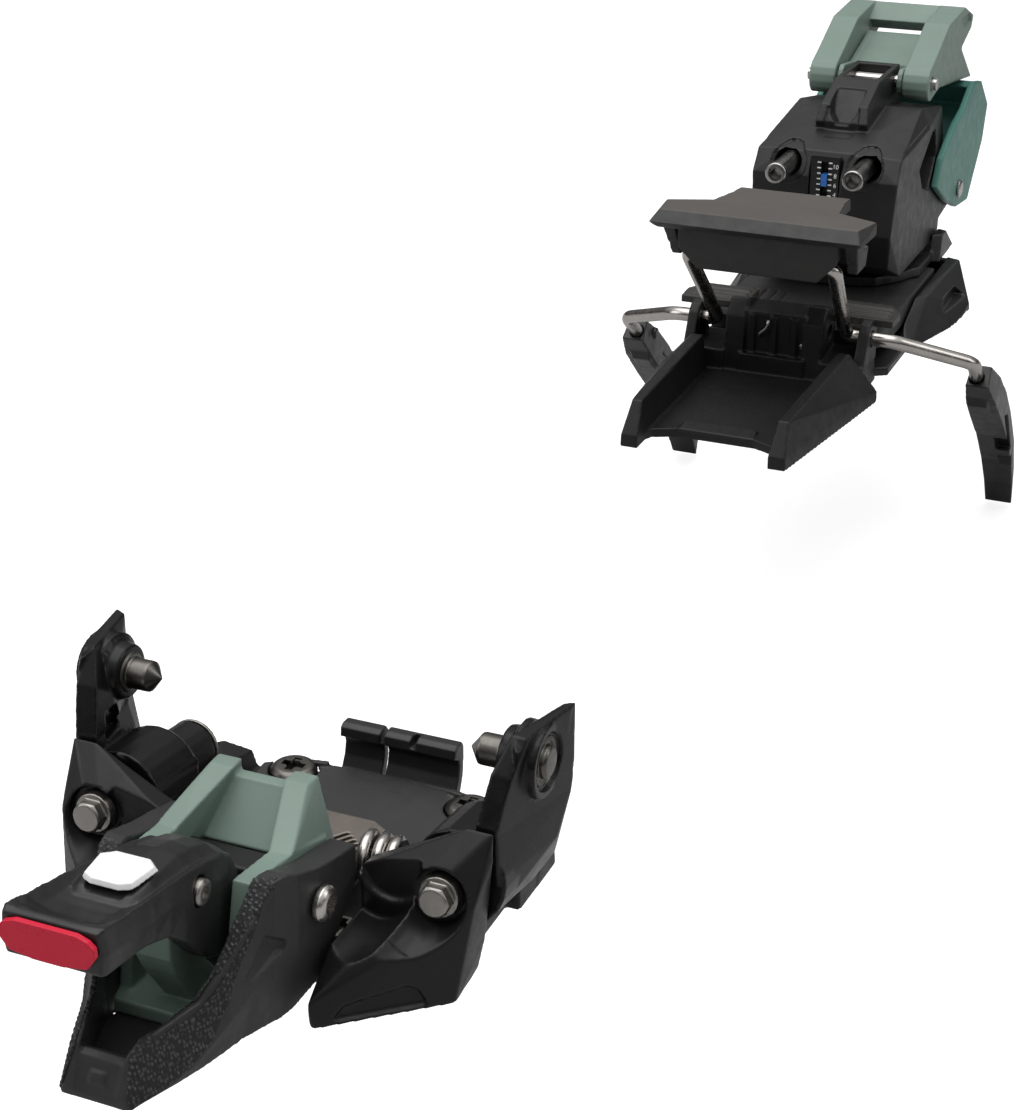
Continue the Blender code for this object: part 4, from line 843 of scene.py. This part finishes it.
stud = softened([(0, 0), (0, 0.8), (0.3, 1.15), (2.0, 1.15), (2.0, 0)])
piece("bracket_stud", lathe((9.0, 285.9, 12.1), (9.0, 290.0, 12.1), stud, steps=32), WORN,
      rides="brake_tray")
SPRING_LEG = [(-4.4, 289.2, 12.0), (-4.4, 285.6, 14.4), (-1.6, 284.9, 17.2), (-1.4, 284.9, 19.4)]
piece("spring_leg", tube(rounded(SPRING_LEG, 1.2), 0.42), STEEL,
      rides="brake_tray")

# brakes: bent wires, and shoes with a clip, round teeth and two slots outside
BRAKE_WIRE = [(12.0, 268.4, 42.6), (21.6, 268.4, 42.6), (19.6, *BRAKE_PIVOT),
              (33.6, *BRAKE_PIVOT), (54.9, 310.7, 5.3), (52.0, 357.6, -34.4)]
SHOE_ADDS = [
    prism("x", 51.4, 57.6, [(323.0, -3.6), (330.0, -7.4), (334.0, -16.0), (330.0, -18.4),
                            (323.6, -13.0), (321.4, -8.0)]),
    rod((349.2, -20.4), 52.2, 57.4, 2.0),
    rod((352.4, -25.0), 52.4, 57.2, 1.8),
    rod((355.8, -30.0), 52.6, 57.0, 1.7),
    rod((328.0, -5.0), 50.6, 58.4, 1.7),
]
SHOE_CUTS = [
    prism("x", 56.2, 64.0, [(340.0, -21.0), (347.0, -23.0), (357.0, -38.0), (352.0, -38.0)]),
    prism("x", 56.4, 64.0, [(354.0, -41.0), (359.0, -41.0), (362.0, -50.0), (357.0, -49.0)]),
]
for word, sign in SIDES:
    piece(f"brake_wire_{word}_bent", side(tube(rounded(BRAKE_WIRE, 3.4), 2.1, 8), sign),
          NICKEL, node=f"brake_wire_{word}")
    reworked(f"brake_shoe_{word}", f"brake_tip_{word}", BLACK, voxel=0.30,
             adds=on_side(SHOE_ADDS, sign), cuts=on_side(SHOE_CUTS, sign))
piece("brake_spring_coil", coil(BRAKE_PIVOT, -7.6, 7.6, radius=4.2, wire=0.75, turns=7.5),
      WORN, node="brake_spring")

# step plate, trimmed at the sides
STEP_TRIM = [(38.0, 273.4), (31.0, 276.3), (18.8, 282.0), (16.8, 295.6), (16.8, 304.0),
             (38.0, 304.0)]  # x, y
reworked("brake_step_plate", "brake_pedal", PEDAL, voxel=0.32,
         cuts=each_side([prism("z", 46.0, 60.0, STEP_TRIM)]))
reworked("heel_track_moulding", "heel_track", BLACK, voxel=0.38)
reworked("heel_slide_moulding", "heel_carriage", BLACK_SOFT, voxel=0.34)
reworked("turret_base_ring", "turret_base", BLACK, voxel=0.34)

# housing: bosses with a slot for each heel pin, a tower with a rounded recess, side bevels
TOWER_HALF = 5.8
TOWER_FILL = [(350.0, 60.0), (349.7, 63.4), (352.6, 68.1), (357.0, 68.1), (357.0, 60.0)]  # y, z
RAMP_FILL = [(343.5, 59.0), (351.5, 61.2), (351.5, 57.6), (343.5, 57.6)]  # y, z
BOSS_INNER = [(333.5, 47.2), (333.5, 50.0), (337.4, 56.8), (350.0, 60.3), (350.0, 47.2)]  # y, z
BOSS_OUTER = [(333.5, 47.2), (333.5, 50.0), (337.8, 56.2), (350.0, 57.5), (350.0, 47.2)]  # y, z
TOWER_RECESS = ((361.5, 4.5, 71.6), (359.0, 4.7, 69.4), (356.0, 4.0, 65.2),
                (354.0, 1.8, 62.5))  # rear y, half width, z
SIDE_BEVEL = [(21.8, 332.0, 57.2), (24.0, 332.0, 54.6), (24.0, 332.0, 58.0),
              (21.8, 372.0, 59.6), (24.0, 372.0, 57.4), (24.0, 372.0, 61.0)]
boss = hull([(x, y, z) for x in (TOWER_HALF, 12.0) for y, z in BOSS_INNER]
            + [(18.2, y, z) for y, z in BOSS_OUTER])
housing_adds = [hull(both([(TOWER_HALF, y, z) for y, z in outline]))
                for outline in (TOWER_FILL, RAMP_FILL)]
tower_recess = hull([(x, y, z) for rear, half, z in TOWER_RECESS
                     for x in (half, -half) for y in (344.0, rear)])
pin_slot = hull([(x, y, z) for centre in (11.8, 13.2) for y in (325.0, 350.5)
                 for x, z in ring(centre, HEEL_PIN_Z, radius=3.6, count=32)])
reworked("turret_housing", "heel_housing", HOUSING, voxel=0.32,
         adds=housing_adds + each_side([boss]),
         cuts=[tower_recess] + each_side([pin_slot, hull(SIDE_BEVEL)]))
for word, sign in SIDES:
    piece(f"release_window_{word}", side(box(17.2, 18.4, 364.5, 383.0, 41.5, 53.5), sign),
          TRIGGER, rides="heel_housing")


def digits(text, x, y, z, size):
    """Thin upright text that faces the front."""
    curve = bpy.data.curves.new("digits", "FONT")
    curve.body = text
    curve.size = size
    curve.extrude = 0.12
    curve.align_x = "CENTER"
    curve.align_y = "CENTER"
    shape = from_curve(curve)
    turn = Matrix(((1, 0, 0, x), (0, 0, -1, y), (0, 1, 0, z), (0, 0, 0, 1)))
    bmesh.ops.transform(shape, matrix=turn, verts=shape.verts)
    return finish(shape)


def release_marks():
    """Two columns of ticks and one of numbers."""
    column_x, half_length, half_height = 1.75, 0.55, 0.16
    low_tick, tick_pitch = 44.6, 1.7
    low_number, number_pitch = 45.0, 2.9
    marks = []
    for sign in (1, -1):
        for k in range(7):
            x, z = sign * column_x, low_tick + tick_pitch * k
            marks.append(box(x - half_length, x + half_length, 333.05, 333.5,
                             z - half_height, z + half_height))
    for k, text in enumerate(("4", "6", "8", "10")):
        marks.append(digits(text, 3.35, 333.3, low_number + number_pitch * k, size=1.9))
    return joined(marks)


piece("release_scale_marks", release_marks(), PALE, rides="release_scale",
      smooth=False)
reworked("turret_rear_frame", "rear_frame", GREEN, voxel=0.34)
LIFTER_NOTCH = [(423.0, 83.4), (436.5, 82.8), (440.0, 79.6), (428.0, 79.2)]  # y, z
reworked("high_lifter_moulding", "high_lifter", SAGE, voxel=0.32,
         cuts=each_side([prism("x", 18.4, 23.0, LIFTER_NOTCH)]))
reworked("low_lifter_moulding", "low_lifter", SAGE, voxel=0.28)

# straight round heel pins with a hollow front end
PIN_BORE = [(3.4, 0.0), (3.4, 2.0), (0.4, 2.1), (0.0, 2.2)]
heel_pin = softened([(0, 2.2), (0, 3.0), (0.35, 3.3), (2.2, 3.3), (2.5, 3.05), (26.5, 3.05),
                     (29.1, 2.6), (29.1, 0)])
for word, sign in SIDES:
    ends = [(sign * HEEL_PIN_X, y, HEEL_PIN_Z) for y in (320.5, 360.0)]
    piece(f"heel_pin_{word}_turned", lathe(*ends, PIN_BORE + heel_pin[1:]), PIN_METAL,
          node=f"heel_pin_{word}", angle=35)

# ================================================================== stage
FLOOR_HALF, FLOOR_Z = 9, -0.0665
floor = bpy.data.meshes.new("floor")
floor.from_pydata([(x * FLOOR_HALF, y * FLOOR_HALF, FLOOR_Z)
                   for x, y in ((-1, -1), (1, -1), (1, 1), (-1, 1))], [], [(0, 1, 2, 3)])
ground = add_object("floor", floor)
nodes = Nodes(bpy.data.materials.new("pale_floor"))
camera_ray = nodes.add("ShaderNodeLightPath").outputs["Is Camera Ray"]
nodes.fill(nodes.shader, {
    "Base Color": nodes.mix(nodes.noise(scale=3.0, detail=2.0),
                            (0.44, 0.44, 0.44), (0.47, 0.47, 0.47)),
    "Roughness": 0.9,
    "Specular IOR Level": 0.1,
    # a glow only the camera sees
    "Emission Color": (1.0, 1.0, 1.0, 1.0),
    "Emission Strength": nodes.maths("MULTIPLY", camera_ray, 0.75),
})
floor.materials.append(nodes.owner)

# soft light from above that fades towards the horizon; the camera sees a plain backdrop
world = bpy.data.worlds.new("studio")
bpy.context.scene.world = world
sky = Nodes(world, "Background")
upward = sky.add("ShaderNodeSeparateXYZ", {"Vector": sky.place["Generated"]}).outputs["Z"]
fade = sky.ranged(upward, span=(0.0, 0.95), onto=(0.03, 0.84), interpolation_type="SMOOTHSTEP")
camera_ray = sky.add("ShaderNodeLightPath").outputs["Is Camera Ray"]
shown = sky.add("ShaderNodeMix", {"Factor": camera_ray, "A": fade, "B": 1.0})
sky.fill(sky.shader, {"Color": (1.0, 1.0, 1.0, 1.0), "Strength": shown.outputs["Result"]})
bpy.context.scene.view_settings.view_transform = "Standard"
bpy.context.scene.view_settings.look = "None"


def lamp(name, place, target, size, power):
    data = bpy.data.lights.new(name, "AREA")
    data.shape = "RECTANGLE"
    data.size, data.size_y = size
    data.energy = power
    item = add_object(name, data)
    item.location = place
    item.rotation_mode = "QUATERNION"
    item.rotation_quaternion = (Vector(target) - Vector(place)).to_track_quat("-Z", "Y")


lamp("top_soft", place=(-0.15, 0.10, 1.3), target=(0, 0.15, 0), size=(1.5, 1.5), power=14.0)
lamp("left_soft", place=(-1.2, -0.7, 0.7), target=(0, 0.15, 0.02), size=(0.9, 0.9), power=5.0)
lamp("right_rim", place=(1.1, 0.5, 0.6), target=(0, 0.2, 0.02), size=(0.5, 0.9), power=2.6)

# camera in front, to the +x side and above
CAMERA_PLACE = (0.167409, -0.298789, 0.225728)
turn, height, roll = (math.radians(angle) for angle in (23.237, 25.065, -0.105))
camera = bpy.data.cameras.new("camera")
camera.sensor_width = 36.0
camera.sensor_fit = "AUTO"
camera.lens = 70.160724324
camera.clip_start, camera.clip_end = 0.01, 50.0
viewer = add_object("camera", camera)
back = Vector((math.sin(turn) * math.cos(height), -math.cos(turn) * math.cos(height),
               math.sin(height)))
level = Vector((math.cos(turn), math.sin(turn), 0.0))
upright = back.cross(level)
right = level * math.cos(roll) + upright * math.sin(roll)
top = -level * math.sin(roll) + upright * math.cos(roll)
rows = zip(right, top, back, CAMERA_PLACE)
viewer.matrix_world = Matrix((*rows, (0, 0, 0, 1)))
bpy.context.scene.camera = viewer

bpy.context.view_layer.update()
